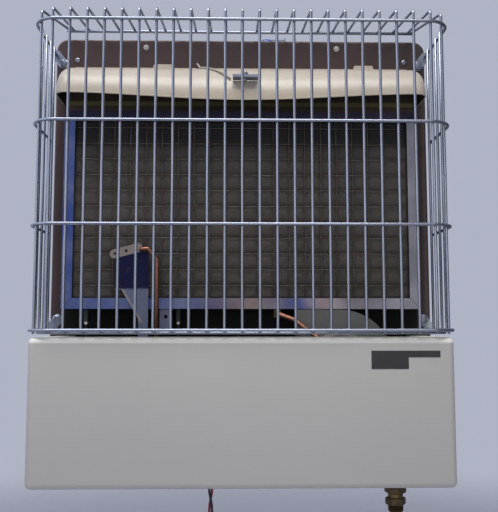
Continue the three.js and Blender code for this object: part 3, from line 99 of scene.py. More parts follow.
FOOT_RING = RING_LOW.z + mm(3)                # height of the guard's lowest ring
PAN_FACE = PAN_LOW.y
HOOD_TOP = HOOD_HIGH.z - mm(10)               # top of the hood's sheet, under its tabs
TAB_X = mm(-108, 169)                         # middles of the hood's two tabs


def above_ring(height):
    """A height in millimetres over the guard's lowest ring."""
    return FOOT_RING + mm(height)


def axis_of(node, z=0.0):
    """The upright middle line of a node, at height z."""
    low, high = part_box(node)
    return Vector(((low.x + high.x) / 2, (low.y + high.y) / 2, z))


def at(x, y, z):
    """A place in millimetres, with its height counted from the guard's lowest ring."""
    return Vector((x * MM, y * MM, FOOT_RING + z * MM))


# ---- sizes and colours that can be changed ---------------------------------------------------------


def length(name, description, default, low=0.0):
    return FloatProperty(name=name, description=description, default=default, min=low, unit="LENGTH")


def colour(name, description, default):
    return FloatVectorProperty(name=name, description=description, default=default, size=3, min=0, max=1,
                               subtype="COLOR")


class HeaterGuardSizes(bpy.types.PropertyGroup):
    wire: length("Upright wire", "Diameter of the upright wires", mm(3.6))
    ring: length("Ring wire", "Diameter of the rings and rods", mm(4))
    pitch: length("Pitch", "Spacing of the uprights", mm(21))
    uprights: IntProperty(name="Uprights", description="Straight uprights between the corners",
                          default=23, min=3)
    rings: IntProperty(name="Rings", description="Rings round the guard", default=4, min=2)
    ring_step: length("Ring step", "Height from one ring to the next", mm(125.8))
    bend: length("Corner bend", "Bend radius of the rings", mm(29))
    weld: length("Weld depth", "How far crossing wires are sunk into each other", mm(0.8))
    top: length("Top", "Height of the uprights' top bend over the lowest ring", mm(392))
    rise: length("Rise", "How much the turned runs climb to the rear rod", mm(18))
    rod_back: length("Rear rod", "Distance from the uprights back to the rear rod", mm(110))
    corner: FloatProperty(name="Corner wires", description="How far round the bends the corner wires stand",
                          default=math.radians(52), min=0, max=math.pi / 2, subtype="ANGLE")
    side_wires: IntProperty(name="Side wires", description="Uprights on each side", default=4, min=1)
    side_first: length("First side wire", "From the front uprights back to the first side wire", mm(37))
    side_pitch: length("Side pitch", "Spacing of the side wires", mm(19.7))
    side_reach: length("Inner ring ends", "From the front uprights back to the inner rings' ends", mm(104))
    foot_drop: length("Foot rod", "Second foot rod under the lowest ring", mm(3.1))


class HeaterPadSizes(bpy.types.PropertyGroup):
    cell: length("Cell", "Pitch of the quilting and of the screen", mm(21))
    window: length("Window", "Width of the frame's opening", mm(441))
    window_foot: length("Window foot", "Height of the opening's foot over the lowest ring", mm(41))
    window_height: length("Window height", "Height of the frame's opening", mm(235))
    first_row: length("First row", "Lowest screen wire above the opening's foot", mm(16))
    crown: length("Crown", "How far the quilted cells swell", mm(3.4))
    screen_wire: length("Screen wire", "Diameter of the screen's wires", mm(1.2))


class HeaterHoodSizes(bpy.types.PropertyGroup):
    reach: length("Reach", "Pan to the lip", mm(61))
    crown: length("Lip drop", "How much lower the lip hangs in the middle", mm(9))
    end: length("End", "Rounded length at each end", mm(14))
    shrink: FloatProperty(name="End shrink", description="How much the rounded ends draw in",
                          default=0.26, min=0, max=0.9)
    hem: length("Hem", "Radius of the rolled lip", mm(1.3))


class HeaterCaseSizes(bpy.types.PropertyGroup):
    sheet: length("Sheet", "Thickness of the painted sheet", mm(1.2))
    pan_corner: length("Pan corner", "Radius of the pan's top corners", mm(16))
    pan_lip: length("Pan lip", "Width of the pan's inturned back lip", mm(11))
    housing_edge: length("Housing edge", "Radius of the housing's edges", mm(7))


class HeaterColours(bpy.types.PropertyGroup):
    pan: colour("Pan enamel", "Brown stove enamel of the back pan", (0.084, 0.046, 0.042))
    hood: colour("Hood enamel", "Cream enamel of the deflector hood", (0.65, 0.58, 0.49))
    housing: colour("Housing enamel", "Light warm grey enamel of the housing", (0.60, 0.585, 0.55))
    zinc: colour("Zinc", "Plated guard wire", (0.33, 0.36, 0.435))
    plate: colour("Bare plate", "Galvanised sheet", (0.44, 0.45, 0.50))
    cloth: colour("Catalyst cloth", "Quilted ceramic fibre cloth", (0.125, 0.102, 0.092))
    copper: colour("Copper", "Drawn copper tube", (0.40, 0.185, 0.115))
    brass: colour("Brass", "Dull brass of the gas fittings", (0.20, 0.145, 0.065))


class HeaterStageSizes(bpy.types.PropertyGroup):
    camera: FloatVectorProperty(name="Camera", description="Where the camera stands", size=3,
                                default=(-0.0100, -1.0040, -0.38815), subtype="TRANSLATION")
    tilt: FloatProperty(name="Tilt", description="Upward tilt of the camera", default=0.09388,
                        subtype="ANGLE")
    turn: FloatProperty(name="Turn", description="Turn of the camera to the left", default=-0.0207,
                        subtype="ANGLE")
    lens: FloatProperty(name="Lens", description="Focal length on a 36 mm sensor", default=51.39,
                        min=1, unit="CAMERA")
    backdrop: colour("Backdrop", "Pale background", (0.43, 0.455, 0.55))
    floor_drop: length("Floor", "Floor below the heater's lowest point", mm(60))


# ---- making meshes ---------------------------------------------------------------------------------


@contextmanager
def edited(data):
    """A mesh opened for editing and written back after."""
    shaped = bmesh.new()
    shaped.from_mesh(data)
    yield shaped
    shaped.to_mesh(data)
    shaped.free()


class Plan:
    """The corners and faces of one piece, gathered before its mesh is made."""

    def __init__(self):
        self.corners = []
        self.faces = []

    def add(self, corners, faces):
        start = len(self.corners)
        self.corners += [Vector(corner) for corner in corners]
        self.faces += [[start + i for i in face] for face in faces]

    def skin(self, rows, cap_first=True, cap_last=True):
        """Faces over equal closed rows of corners, each row a ring, with flat ends."""
        count = len(rows[0])
        faces = []
        for r in range(len(rows) - 1):
            for i in range(count):
                a, b = r * count + i, r * count + (i + 1) % count
                faces.append([a, b, b + count, a + count])
        if cap_first:
            faces.append(list(range(count))[::-1])
        if cap_last:
            faces.append([(len(rows) - 1) * count + i for i in range(count)])
        self.add([corner for row in rows for corner in row], faces)

    def mesh(self, name):
        data = bpy.data.meshes.new(name)
        data.from_pydata(self.corners, [], self.faces)
        data.validate()
        with edited(data) as shaped:
            bmesh.ops.recalc_face_normals(shaped, faces=shaped.faces)
        return data


def closed_grids(wide, tall):
    """Faces over two equal grids of corners, one behind the other, and round their rim."""
    back = wide * tall
    faces = []
    for k in range(tall - 1):
        for i in range(wide - 1):
            a = k * wide + i
            faces.append([a, a + 1, a + wide + 1, a + wide])
            faces.append([back + a, back + a + wide, back + a + wide + 1, back + a + 1])
    for i in range(wide - 1):
        top = (tall - 1) * wide + i
        faces += [[i, back + i, back + i + 1, i + 1], [top, top + 1, back + top + 1, back + top]]
    for k in range(tall - 1):
        left, right = k * wide, k * wide + wide - 1
        faces += [[left, left + wide, back + left + wide, back + left],
                  [right, back + right, back + right + wide, right + wide]]
    return faces


def rounded(corners, radius, steps=6):
    """Corner points as a path, with an arc at each inner corner."""
    path = [Vector(corners[0])]
    for before, here, after in zip(corners, corners[1:], corners[2:]):
        u, v = (before - here).normalized(), (after - here).normalized()
        half = u.angle(v) / 2
        centre = here + (u + v).normalized() * (radius / math.sin(half))
        start = here + u * (radius / math.tan(half)) - centre
        end = here + v * (radius / math.tan(half)) - centre
        sweep = start.angle(end)
        for k in range(steps + 1):
            a = math.sin(sweep * (1 - k / steps)) / math.sin(sweep)
            b = math.sin(sweep * k / steps) / math.sin(sweep)
            path.append(centre + start * a + end * b)
    path.append(Vector(corners[-1]))
    return path


def tube(plan, path, radius, sides=12, chamfer=0.35):
    """A round wire or tube along a path, its two ends slightly chamfered."""
    points = [Vector(p) for p in path]
    tangents = []
    for before, here, after in zip(points[:1] + points, points, points[1:] + points[-1:]):
        tangents.append(((after - here).normalized() + (here - before).normalized()).normalized())
    side = tangents[0].orthogonal().normalized()
    rows = []

    def ring(centre, tangent, size):
        up = tangent.cross(side)
        rows.append([centre + size * (side * math.cos(a) + up * math.sin(a))
                     for a in (2 * math.pi * i / sides for i in range(sides))])

    nip = chamfer * radius
    for i, (point, tangent) in enumerate(zip(points, tangents)):
        side = (side - tangent * side.dot(tangent)).normalized()
        if i == 0:
            ring(point, tangent, radius - nip)
            ring(point + tangent * nip, tangent, radius)
        elif i == len(points) - 1:
            ring(point - tangent * nip, tangent, radius)
            ring(point, tangent, radius - nip)
        else:
            ring(point, tangent, radius)
    plan.skin(rows)


UPWARD = Vector((0, 0, 1))
UP = Matrix.Identity(3)
FRONTWARD = Matrix(((1, 0, 0), (0, 0, -1), (0, 1, 0)))      # a profile's axis turned to the room


def turned(plan, profile, centre, turn=UP, sides=32):
    """A turned piece from (radius, height) points along the axis, its ends closed flat."""
    rows = []
    for radius, height in profile:
        size = max(radius, mm(0.02))
        rows.append([centre + turn @ Vector((size * math.cos(a), size * math.sin(a), height))
                     for a in (2 * math.pi * i / sides for i in range(sides))])
    plan.skin(rows)


def hexagon(plan, across, low, high, centre, turn=UP):
    """A hexagon nut or head with chamfered corners."""
    nip = (high - low) * 0.12
    corner = across / math.sqrt(3)
    turned(plan, [(corner * 0.93, low), (corner, low + nip), (corner, high - nip), (corner * 0.9, high)],
           centre, turn, sides=6)


def slab(plan, low, high):
    """A box between two corners."""
    (x0, y0, z0), (x1, y1, z1) = low, high
    ring = [(x0, y0), (x1, y0), (x1, y1), (x0, y1)]
    plan.skin([[Vector((x, y, z)) for x, y in ring] for z in (z0, z1)])


def lifted(base, *points):
    """Profile points given in millimetres, their heights counted from a base in metres."""
    return [(mm(radius), base + mm(height)) for radius, height in points]


def dome(radius, base, height, steps=6):
    """Profile points of a domed head."""
    turns = [math.pi / 2 * i / steps for i in range(steps + 1)]
    return [(radius * math.cos(a), base + height * math.sin(a)) for a in turns]


def smooth(piece, degrees=40):
    piece.data.shade_smooth()
    piece.data.set_sharp_from_angle(angle=math.radians(degrees))


def bevel(piece, width, segments=2, degrees=30):
    edge = piece.modifiers.new("Edge", "BEVEL")
    edge.width = width
    edge.segments = segments
    edge.limit_method = "ANGLE"
    edge.angle_limit = math.radians(degrees)
    edge.harden_normals = True


def place(piece, material, slot, body=HEATER, instead_of=()):
    """Puts a finished piece in the scene, on its body, in its finish, for the nodes it stands for."""
    if piece.name not in bpy.context.scene.collection.objects:
        bpy.context.scene.collection.objects.link(piece)
    if material is not None:
        piece.data.materials.clear()
        piece.data.materials.append(material)
    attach(piece, body)
    if instead_of:
        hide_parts(*instead_of)
    return piece


def build(plan, name, material, slot, body=HEATER, instead_of=(), degrees=40):
    piece = bpy.data.objects.new(name, plan.mesh(name))
    bpy.context.scene.collection.objects.link(piece)
    smooth(piece, degrees)
    return place(piece, material, slot, body, instead_of)


def carve(piece, cutter_plan, operation="DIFFERENCE"):
    """Cuts a piece by a closed cutter and keeps the result in its mesh."""
    cutter = bpy.data.objects.new("cutter", cutter_plan.mesh("cutter"))
    bpy.context.scene.collection.objects.link(cutter)
    boolean = piece.modifiers.new("Cut", "BOOLEAN")
    boolean.operation = operation
    boolean.solver = "EXACT"
    boolean.object = cutter
    keep_modifiers(piece)
    data = cutter.data
    bpy.data.objects.remove(cutter)
    bpy.data.meshes.remove(data)


def thicken(piece, thickness, even, lining=0):
    """Gives an open sheet its thickness inwards. The lining is how many slots on its inner finish is."""
    thick = piece.modifiers.new("Sheet", "SOLIDIFY")
    thick.thickness = thickness
    thick.offset = -1
    thick.use_even_offset = even
    thick.material_offset = lining
    keep_modifiers(piece)


def keep_modifiers(piece):
    """Applies every modifier of a piece to its mesh."""
    graph = bpy.context.evaluated_depsgraph_get()
    made = bpy.data.meshes.new_from_object(piece.evaluated_get(graph))
    old = piece.data
    piece.modifiers.clear()
    piece.data = made
    made.name = piece.name
    bpy.data.meshes.remove(old)


# ---- shader parts ----------------------------------------------------------------------------------


class Nodes:
    """Short calls for the nodes of one tree."""

    def __init__(self, tree):
        self.tree = tree

    def new(self, kind, inputs=None, **settings):
        node = self.tree.nodes.new(kind)
        for key, value in settings.items():
            setattr(node, key, value)
        for key, value in (inputs or {}).items():
            self.feed(node.inputs[key], value)
        return node

    def feed(self, socket, value):
        if isinstance(value, bpy.types.NodeSocket):
            self.tree.links.new(value, socket)
        else:
            socket.default_value = value

    def maths(self, operation, *values):
        node = self.new("ShaderNodeMath", operation=operation)
        for socket, value in zip(node.inputs, values):
            self.feed(socket, value)
        return node.outputs[0]

    def plus(self, a, b):
        return self.maths("ADD", a, b)

    def minus(self, a, b):
        return self.maths("SUBTRACT", a, b)

    def times(self, a, *others):
        for other in others:
            a = self.maths("MULTIPLY", a, other)
        return a

    def blend(self, a, b, factor):
        node = self.new("ShaderNodeMix", data_type="RGBA")
        self.feed(node.inputs[0], factor)
        for index, value in ((6, a), (7, b)):
            flat = isinstance(value, (tuple, list)) or hasattr(value, "r")
            self.feed(node.inputs[index], (*value[:3], 1) if flat else value)
        return node.outputs[2]

    def spread(self, value, low, high, to_low=0.0, to_high=1.0, soft=False):
        node = self.new("ShaderNodeMapRange", {"Value": value, "From Min": low, "From Max": high,
                                               "To Min": to_low, "To Max": to_high})
        node.interpolation_type = "SMOOTHSTEP" if soft else "LINEAR"
        return node.outputs[0]

    def noise(self, place, scale, detail=3.0, rough=0.5):
        inputs = {"Vector": place, "Scale": scale, "Detail": detail, "Roughness": rough}
        return self.new("ShaderNodeTexNoise", inputs).outputs["Fac"]

    def place(self):
        return self.new("ShaderNodeTexCoord").outputs["Object"]

    def axes(self, vector):
        return self.new("ShaderNodeSeparateXYZ", {0: vector}).outputs

    def ramp(self, value, stops):
        node = self.new("ShaderNodeValToRGB", {"Fac": value})
        ramp = node.color_ramp
        while len(ramp.elements) < len(stops):
            ramp.elements.new(0.5)
        for element, (position, tint) in zip(ramp.elements, stops):
            element.position = position
            element.color = (*tint, 1)
        return node.outputs["Color"]

    def shared(self, group, inputs):
        node = self.new("ShaderNodeGroup")
        node.node_tree = group
        for key, value in inputs.items():
            self.feed(node.inputs[key], value)
        return node.outputs

    def bump(self, height, depth):
        inputs = {"Height": height, "Distance": depth, "Strength": 1.0}
        return self.new("ShaderNodeBump", inputs).outputs["Normal"]


def group(name, inputs, outputs):
    """A new shader group with named float inputs (with defaults) and float outputs."""
    tree = bpy.data.node_groups.new(name, "ShaderNodeTree")
    for label, default in inputs.items():
        socket = tree.interface.new_socket(name=label, in_out="INPUT", socket_type="NodeSocketFloat")
        socket.default_value = default
    for label in outputs:
        tree.interface.new_socket(name=label, in_out="OUTPUT", socket_type="NodeSocketFloat")
    return Nodes(tree), tree.nodes.new("NodeGroupInput").outputs, tree.nodes.new("NodeGroupOutput").inputs


def make_edge_wear():
    """Where a coating is rubbed thin: sharp edges, broken up by noise."""
    n, given, result = group("Edge wear", {"Width": 0.001, "Amount": 0.5, "Scale": 120.0}, ["Mask"])
    soft = n.new("ShaderNodeBevel", {"Radius": given["Width"]}, samples=4).outputs[0]
    hard = n.new("ShaderNodeNewGeometry").outputs["Normal"]
    alike = n.new("ShaderNodeVectorMath", {0: soft, 1: hard}, operation="DOT_PRODUCT").outputs["Value"]
    edge = n.spread(alike, 0.97, 0.80, soft=True)
    broken = n.noise(n.place(), given["Scale"], 4.0, 0.65)
    threshold = n.minus(1.0, given["Amount"])
    rubbed = n.spread(n.minus(broken, n.times(threshold, 0.75)), 0.0, 0.12)
    n.feed(result["Mask"], n.times(edge, rubbed))
    return n.tree


def make_grain():
    """Fine surface relief and a slow drift of tone over it."""
    n, given, result = group("Grain", {"Scale": 900.0, "Drift": 12.0}, ["Height", "Tone"])
    where = n.place()
    n.feed(result["Height"], n.noise(where, given["Scale"], 2.0, 0.5))
    n.feed(result["Tone"], n.spread(n.noise(where, given["Drift"], 3.0, 0.55), 0.3, 0.7))
    return n.tree


def make_dust():
    """Dust in patches on what faces up."""
    n, given, result = group("Dust", {"Amount": 0.4, "Scale": 60.0}, ["Mask"])
    facing = n.axes(n.new("ShaderNodeNewGeometry").outputs["Normal"])["Z"]
    settled = n.spread(facing, 0.35, 0.95, soft=True)
    patchy = n.spread(n.noise(n.place(), given["Scale"], 4.0, 0.6), 0.38, 0.62)
    mask = n.times(n.times(settled, patchy), given["Amount"])
    n.feed(result["Mask"], mask)
    return n.tree


def make_weave():
    """Two crossing sets of threads: their relief, and the gaps between them."""
    n, given, result = group("Weave", {"Pitch": 0.0012, "Fuzz": 0.3}, ["Height", "Gap"])
    where = n.place()
    wander = n.noise(where, 300.0, 2.0)
    turns = n.maths("DIVIDE", 2 * math.pi, given["Pitch"])
    along = n.axes(where)
    threads = []
    for axis in ("X", "Z"):
        swayed = n.plus(along[axis], n.times(wander, mm(1.2)))
        threads.append(n.maths("ABSOLUTE", n.maths("SINE", n.times(swayed, turns))))
    woven = n.times(*threads)
    fuzz = n.times(n.noise(where, 1800.0, 3.0), given["Fuzz"])
    n.feed(result["Height"], n.plus(woven, fuzz))
    n.feed(result["Gap"], n.spread(woven, 0.35, 0.0))
    return n.tree


SHARED = {}


def shared_groups():
    if not SHARED:
        SHARED.update(wear=make_edge_wear(), grain=make_grain(), dust=make_dust(), weave=make_weave())
    return SHARED


def new_material(name):
    material = bpy.data.materials.new(name)
    material.use_nodes = True
    n = Nodes(material.node_tree)
    return material, n, material.node_tree.nodes["Principled BSDF"]


def coating(name, tint, roughness, *, second=None, drift=12.0, grain=900.0, relief=0.02, wear=0.0,
            bare=(0.30, 0.29, 0.28), wear_width=0.8, dust=0.0, dust_tint=(0.42, 0.39, 0.36), coat=0.0,
            rough_swing=0.08, specular=0.5):
    """A finish of one tint that drifts into a second, with grain, rubbed edges and dust."""
    groups = shared_groups()
    material, n, shader = new_material(name)
    fine = n.shared(groups["grain"], {"Scale": grain, "Drift": drift})
    shade = second or tuple(part * 0.86 for part in tint[:3])
    look = n.blend(tint, shade, fine["Tone"])
    rough = n.spread(fine["Tone"], 0.0, 1.0, roughness - rough_swing, roughness + rough_swing)
    if wear:
        worn = n.shared(groups["wear"], {"Width": mm(wear_width), "Amount": wear, "Scale": 160.0})["Mask"]
        look = n.blend(look, bare, worn)
        n.feed(shader.inputs["Metallic"], n.times(worn, 0.8))
    if dust:
        settled = n.shared(groups["dust"], {"Amount": dust, "Scale": 70.0})["Mask"]
        look = n.blend(look, dust_tint, settled)
        rough = n.plus(rough, n.times(settled, 0.35))
    n.feed(shader.inputs["Base Color"], look)
    n.feed(shader.inputs["Roughness"], rough)
    n.feed(shader.inputs["Normal"], n.bump(fine["Height"], mm(relief)))
    shader.inputs["Coat Weight"].default_value = coat
    shader.inputs["Coat Roughness"].default_value = 0.25
    shader.inputs["Specular IOR Level"].default_value = specular
    return material, n, shader


def fed(shader, name):
    """What already feeds a socket of the shader."""
    return shader.inputs[name].links[0].from_socket


def hood_enamel(tint):
    """Cream enamel, yellowed along the lip, partly by heat and partly as a painted warm reflection, and
    sooted thinly over it.
    """
    material, n, shader = coating(
        "hood_enamel", tint, 0.34, second=tuple(c * 0.93 for c in tint), drift=9.0, relief=0.012, wear=0.35,
        bare=(0.45, 0.38, 0.28), dust=0.25, coat=0.15)
    base = fed(shader, "Base Color")
    height = n.axes(n.place())["Z"]
    lip = HOOD_LOW.z + mm(9)
    # Yellow band along the lip: partly heat yellowing, partly a painted warm reflection.
    lip_heat_and_reflection = n.spread(height, lip + mm(14), lip - mm(6), soft=True)
    uneven = n.spread(n.noise(n.place(), 35.0, 3.0), 0.25, 0.75, 0.35, 0.85)
    look = n.blend(base, (0.62, 0.50, 0.28), n.times(lip_heat_and_reflection, n.times(uneven, 0.5)))
    n.feed(shader.inputs["Base Color"], look)
    return material


def hood_inner_heat_and_reflection():
    """The hood's inner side, dark olive: partly baked by the pad's heat, partly a painted reflection of the
    brown pan.
    """
    return coating("hood_inner_enamel", (0.105, 0.085, 0.052), 0.55, second=(0.045, 0.038, 0.026),
                   drift=16.0, relief=0.03)[0]


def drawn_zinc(tint):
    """Bright plated wire with fine draw marks, dulled in patches."""
    groups = shared_groups()
    material, n, shader = new_material("drawn_zinc")
    where = n.place()
    fine = n.shared(groups["grain"], {"Scale": 500.0, "Drift": 14.0})
    dull = n.spread(n.noise(where, 24.0, 3.0, 0.5), 0.45, 0.72)
    look = n.blend(tint, tuple(c * 0.84 for c in tint[:3]), fine["Tone"])
    look = n.blend(look, (0.40, 0.41, 0.44), n.times(dull, 0.3))
    n.feed(shader.inputs["Base Color"], look)
    n.feed(shader.inputs["Roughness"], n.spread(dull, 0.0, 1.0, 0.22, 0.36))
    n.feed(shader.inputs["Normal"], n.bump(fine["Height"], mm(0.004)))
    shader.inputs["Metallic"].default_value = 0.92
    return material


def spangled_plate(name, tint, heat=None, roughness=0.38):
    """Galvanised sheet with faint spangle, rust specks and, where given, heat colours together with painted
    shade, highlights and reflections.
    """
    groups = shared_groups()
    material, n, shader = new_material(name)
    where = n.place()
    fine = n.shared(groups["grain"], {"Scale": 650.0, "Drift": 18.0})
    cells = n.new("ShaderNodeTexVoronoi", {"Vector": where, "Scale": 140.0}).outputs["Color"]
    spangle = n.spread(n.axes(cells)["X"], 0.0, 1.0, 0.0, 0.35)
    look = n.blend(tint, tuple(c * 0.62 for c in tint[:3]), spangle)
    look = n.blend(look, tuple(c * 0.8 for c in tint[:3]), fine["Tone"])
    if heat:
        look = heat(n, where, look)
    rust = n.spread(n.noise(where, 85.0, 5.0, 0.7), 0.66, 0.74)
    look = n.blend(look, (0.16, 0.065, 0.025), n.times(rust, 0.8))
    n.feed(shader.inputs["Base Color"], look)
    n.feed(shader.inputs["Roughness"], n.spread(fine["Tone"], 0.0, 1.0, roughness - 0.08, roughness + 0.12))
    n.feed(shader.inputs["Metallic"], n.spread(rust, 0.0, 1.0, 0.75, 0.1))
    n.feed(shader.inputs["Normal"], n.bump(fine["Height"], mm(0.02)))
    shader.inputs["Specular IOR Level"].default_value = 0.3
    return material


def rail_heat_and_painted_shade(n, where, look):
    """Heat colours along the frame: blue to the left, straw and violet patches, grey to the right; painted
    shade, near black, on the top rail under the hood.
    """
    sway = n.times(n.minus(n.noise(where, 28.0, 3.0), 0.5), mm(60))
    along = n.spread(n.plus(n.axes(where)["X"], sway), mm(-224), mm(224))
    tints = n.ramp(along, [
        (0.0, (0.050, 0.092, 0.30)), (0.38, (0.085, 0.105, 0.24)), (0.54, (0.25, 0.17, 0.14)),
        (0.60, (0.16, 0.145, 0.22)), (0.67, (0.08, 0.11, 0.30)), (0.75, (0.28, 0.18, 0.19)),
        (0.84, (0.22, 0.20, 0.23)), (1.0, (0.25, 0.245, 0.28)),
    ])
    patchy = n.spread(n.noise(where, 18.0, 4.0), 0.3, 0.6, 0.65, 0.97)
    look = n.blend(look, tints, patchy)
    # Painted shade: the top rail under the hood is turned near black.
    baked = n.spread(n.axes(where)["Z"], above_ring(274), above_ring(279), soft=True)
    return n.blend(look, (0.020, 0.017, 0.034), n.times(baked, 0.96))


def bracket_tints_and_painted_light(n, where, look):
    """The thermocouple bracket: bluish neck with a painted highlight along its folded edge, a painted dark
    navy reflection on the shield, dull straw strip on top.
    """
    along = n.axes(where)
    wobble = n.times(n.noise(where, 120.0, 3.0), mm(3))
    height = n.plus(along["Z"], wobble)
    tinted = n.blend(look, (0.085, 0.105, 0.19), 0.75)
    # Painted highlight: a thin pale line along the neck's folded edge.
    neck_edge = n.plus(along["X"], n.times(along["Z"], 0.6))
    edge_start = mm(-156 + 0.6 * 54) + 0.6 * FOOT_RING
    folded_edge_highlight = n.times(n.spread(neck_edge, edge_start + mm(2.6), edge_start + mm(1.8)),
                     n.spread(along["Z"], above_ring(8), above_ring(12)))
    tinted = n.blend(tinted, (0.32, 0.28, 0.28), folded_edge_highlight)
    # Painted reflection: the shield is turned dark navy.
    shield_dark_reflection = n.spread(height, above_ring(52), above_ring(56), soft=True)
    tinted = n.blend(tinted, (0.006, 0.007, 0.040), n.times(shield_dark_reflection, 0.97))
    tilted = n.minus(along["Z"], n.times(along["X"], 0.26))
    strip = n.spread(tilted, above_ring(135), above_ring(135.6))
    return n.blend(tinted, (0.30, 0.25, 0.22), strip)


def baked_enamel(tint):
    """Brown enamel, baked olive over the burner, with a painted bright olive line under the hood, and
    painted shade, nearly black, below the burner.
    """
    material, n, shader = coating(
        "stove_enamel", tint, 0.36, second=(0.048, 0.028, 0.026), drift=7.0, wear=0.42,
        bare=(0.20, 0.15, 0.13), dust=0.35, dust_tint=(0.22, 0.19, 0.18), specular=0.35)
    base = fed(shader, "Base Color")
    along = n.axes(n.place())
    front = n.spread(along["Y"], mm(-19.3), mm(-19.8))
    middle = n.spread(n.maths("ABSOLUTE", along["X"]), mm(241), mm(235), soft=True)
    inside = n.times(middle, front)
    uneven = n.spread(n.noise(n.place(), 30.0, 3.0), 0.3, 0.7, 0.7, 1.0)
    above = n.spread(along["Z"], above_ring(283), above_ring(290), soft=True)
    under_hood = n.spread(along["Z"], HOOD_HIGH.z - mm(8), HOOD_HIGH.z - mm(18), soft=True)
    olive = n.times(above, under_hood, inside, uneven)
    look = n.blend(base, (0.17, 0.125, 0.095), olive)
    # Painted highlight: a thin bright olive line across the pan under the hood.
    painted_lit_line = n.times(n.spread(along["Z"], above_ring(313), above_ring(311.5)),
                   n.spread(along["Z"], above_ring(305.5), above_ring(307)))
    look = n.blend(look, (0.42, 0.37, 0.17), n.times(painted_lit_line, inside, uneven))
    # Painted shade: the pan below the burner is made nearly black, rougher and without coat.
    below = n.spread(along["Z"], above_ring(34), above_ring(27), soft=True)
    painted_shade_below = n.times(below, inside)
    look = n.blend(look, (0.004, 0.007, 0.006), n.times(painted_shade_below, 0.92))
    rough = fed(shader, "Roughness")
    n.feed(shader.inputs["Base Color"], look)
    n.feed(shader.inputs["Roughness"], n.plus(rough, n.times(painted_shade_below, 0.55)))
    n.feed(shader.inputs["Coat Weight"], n.spread(painted_shade_below, 0.0, 1.0, 0.25, 0.0))
    return material


def housing_enamel(tint):
    """Light grey enamel, dusty, and paler round the top bend as a painted highlight."""
    material, n, shader = coating(
        "housing_enamel", tint, 0.38, second=tuple(c * 0.955 for c in tint), drift=5.0, grain=520.0,
        wear=0.30, bare=(0.42, 0.40, 0.37), dust=0.2, dust_tint=(0.48, 0.46, 0.43), coat=0.1)
    base = fed(shader, "Base Color")
    height = n.axes(n.place())["Z"]
    # Painted highlight along the housing's top bend.
    bend = n.spread(height, above_ring(-16.5), above_ring(-13), soft=True)
    n.feed(shader.inputs["Base Color"], n.blend(base, (0.98, 0.95, 0.89), bend))
    return material


def terminal_ceramic():
    """Dark glazed bush with a bright threaded end."""
    material, n, shader = coating("dark_ceramic", (0.020, 0.022, 0.022), 0.4, drift=80.0, relief=0.01)
    base = fed(shader, "Base Color")
    tip = n.spread(n.axes(n.place())["Z"], above_ring(10.4), above_ring(10))
    n.feed(shader.inputs["Base Color"], n.blend(base, (0.75, 0.76, 0.76), tip))
    n.feed(shader.inputs["Metallic"], tip)
    return material


def catalyst_cloth(tint):
    """Ceramic fibre cloth browned by use: weave, slubs, darker stitch grooves, pale fuzz on the swells, and
    a painted shadow of the hood across its top.
    """
    groups = shared_groups()
    material, n, shader = new_material("catalyst_cloth")
    where = n.place()
    woven = n.shared(groups["weave"], {"Pitch": mm(1.6), "Fuzz": 0.5})
    drift = n.spread(n.noise(where, 9.0, 4.0, 0.6), 0.3, 0.7)
    look = n.blend(tint, (0.062, 0.055, 0.05), drift)
    speck = n.spread(n.noise(where, 420.0, 4.0, 0.7), 0.35, 0.75)
    look = n.blend(look, (0.20, 0.175, 0.15), n.times(speck, 0.35))
    look = n.blend(look, (0.028, 0.024, 0.022), n.times(woven["Gap"], 0.6))
    swell = n.spread(n.axes(where)["Y"], PAD_LOW.y + mm(2.4), PAD_LOW.y)
    # Darker in the stitch grooves, lighter on the swells.
    look = n.blend(n.blend(look, (0.02, 0.017, 0.015), 0.75), look, n.spread(swell, 0.0, 0.6))
    # Painted shadow of the hood across the pad's top.
    painted_hood_shadow = n.spread(n.axes(where)["Z"], PAD_HIGH.z - mm(62), PAD_HIGH.z - mm(30), soft=True)
    look = n.blend(look, (0.006, 0.006, 0.007), n.times(painted_hood_shadow, 0.88))
    n.feed(shader.inputs["Base Color"], look)
    n.feed(shader.inputs["Normal"], n.bump(woven["Height"], mm(0.35)))
    n.feed(shader.inputs["Roughness"], n.spread(speck, 0.0, 1.0, 0.88, 1.0))
    shader.inputs["Sheen Weight"].default_value = 0.12
    shader.inputs["Sheen Roughness"].default_value = 0.6
    return material


def metal_finish(name, tint, roughness, patina, amount, scale=60.0):
    """Bare metal with darker patina in patches."""
    groups = shared_groups()
    material, n, shader = new_material(name)
    where = n.place()
    fine = n.shared(groups["grain"], {"Scale": 800.0, "Drift": 30.0})
    stain = n.spread(n.noise(where, scale, 4.0, 0.6), 0.40, 0.62, 0.0, amount)
    look = n.blend(n.blend(tint, tuple(c * 0.8 for c in tint[:3]), fine["Tone"]), patina, stain)
    n.feed(shader.inputs["Base Color"], look)
    n.feed(shader.inputs["Roughness"], n.spread(stain, 0.0, 1.0, roughness, roughness + 0.3))
    n.feed(shader.inputs["Metallic"], n.spread(stain, 0.0, 1.0, 0.95, 0.45))
    n.feed(shader.inputs["Normal"], n.bump(fine["Height"], mm(0.015)))
    return material


def woven_sleeve():
    """Pale glass fibre sleeving."""
    groups = shared_groups()
    material, n, shader = new_material("woven_sleeve")
    woven = n.shared(groups["weave"], {"Pitch": mm(1.1), "Fuzz": 0.2})
    look = n.blend((0.62, 0.58, 0.50), (0.34, 0.30, 0.24), woven["Gap"])
    n.feed(shader.inputs["Base Color"], look)
    n.feed(shader.inputs["Normal"], n.bump(woven["Height"], mm(0.15)))
    shader.inputs["Roughness"].default_value = 0.85
    return material


MATERIALS = {}


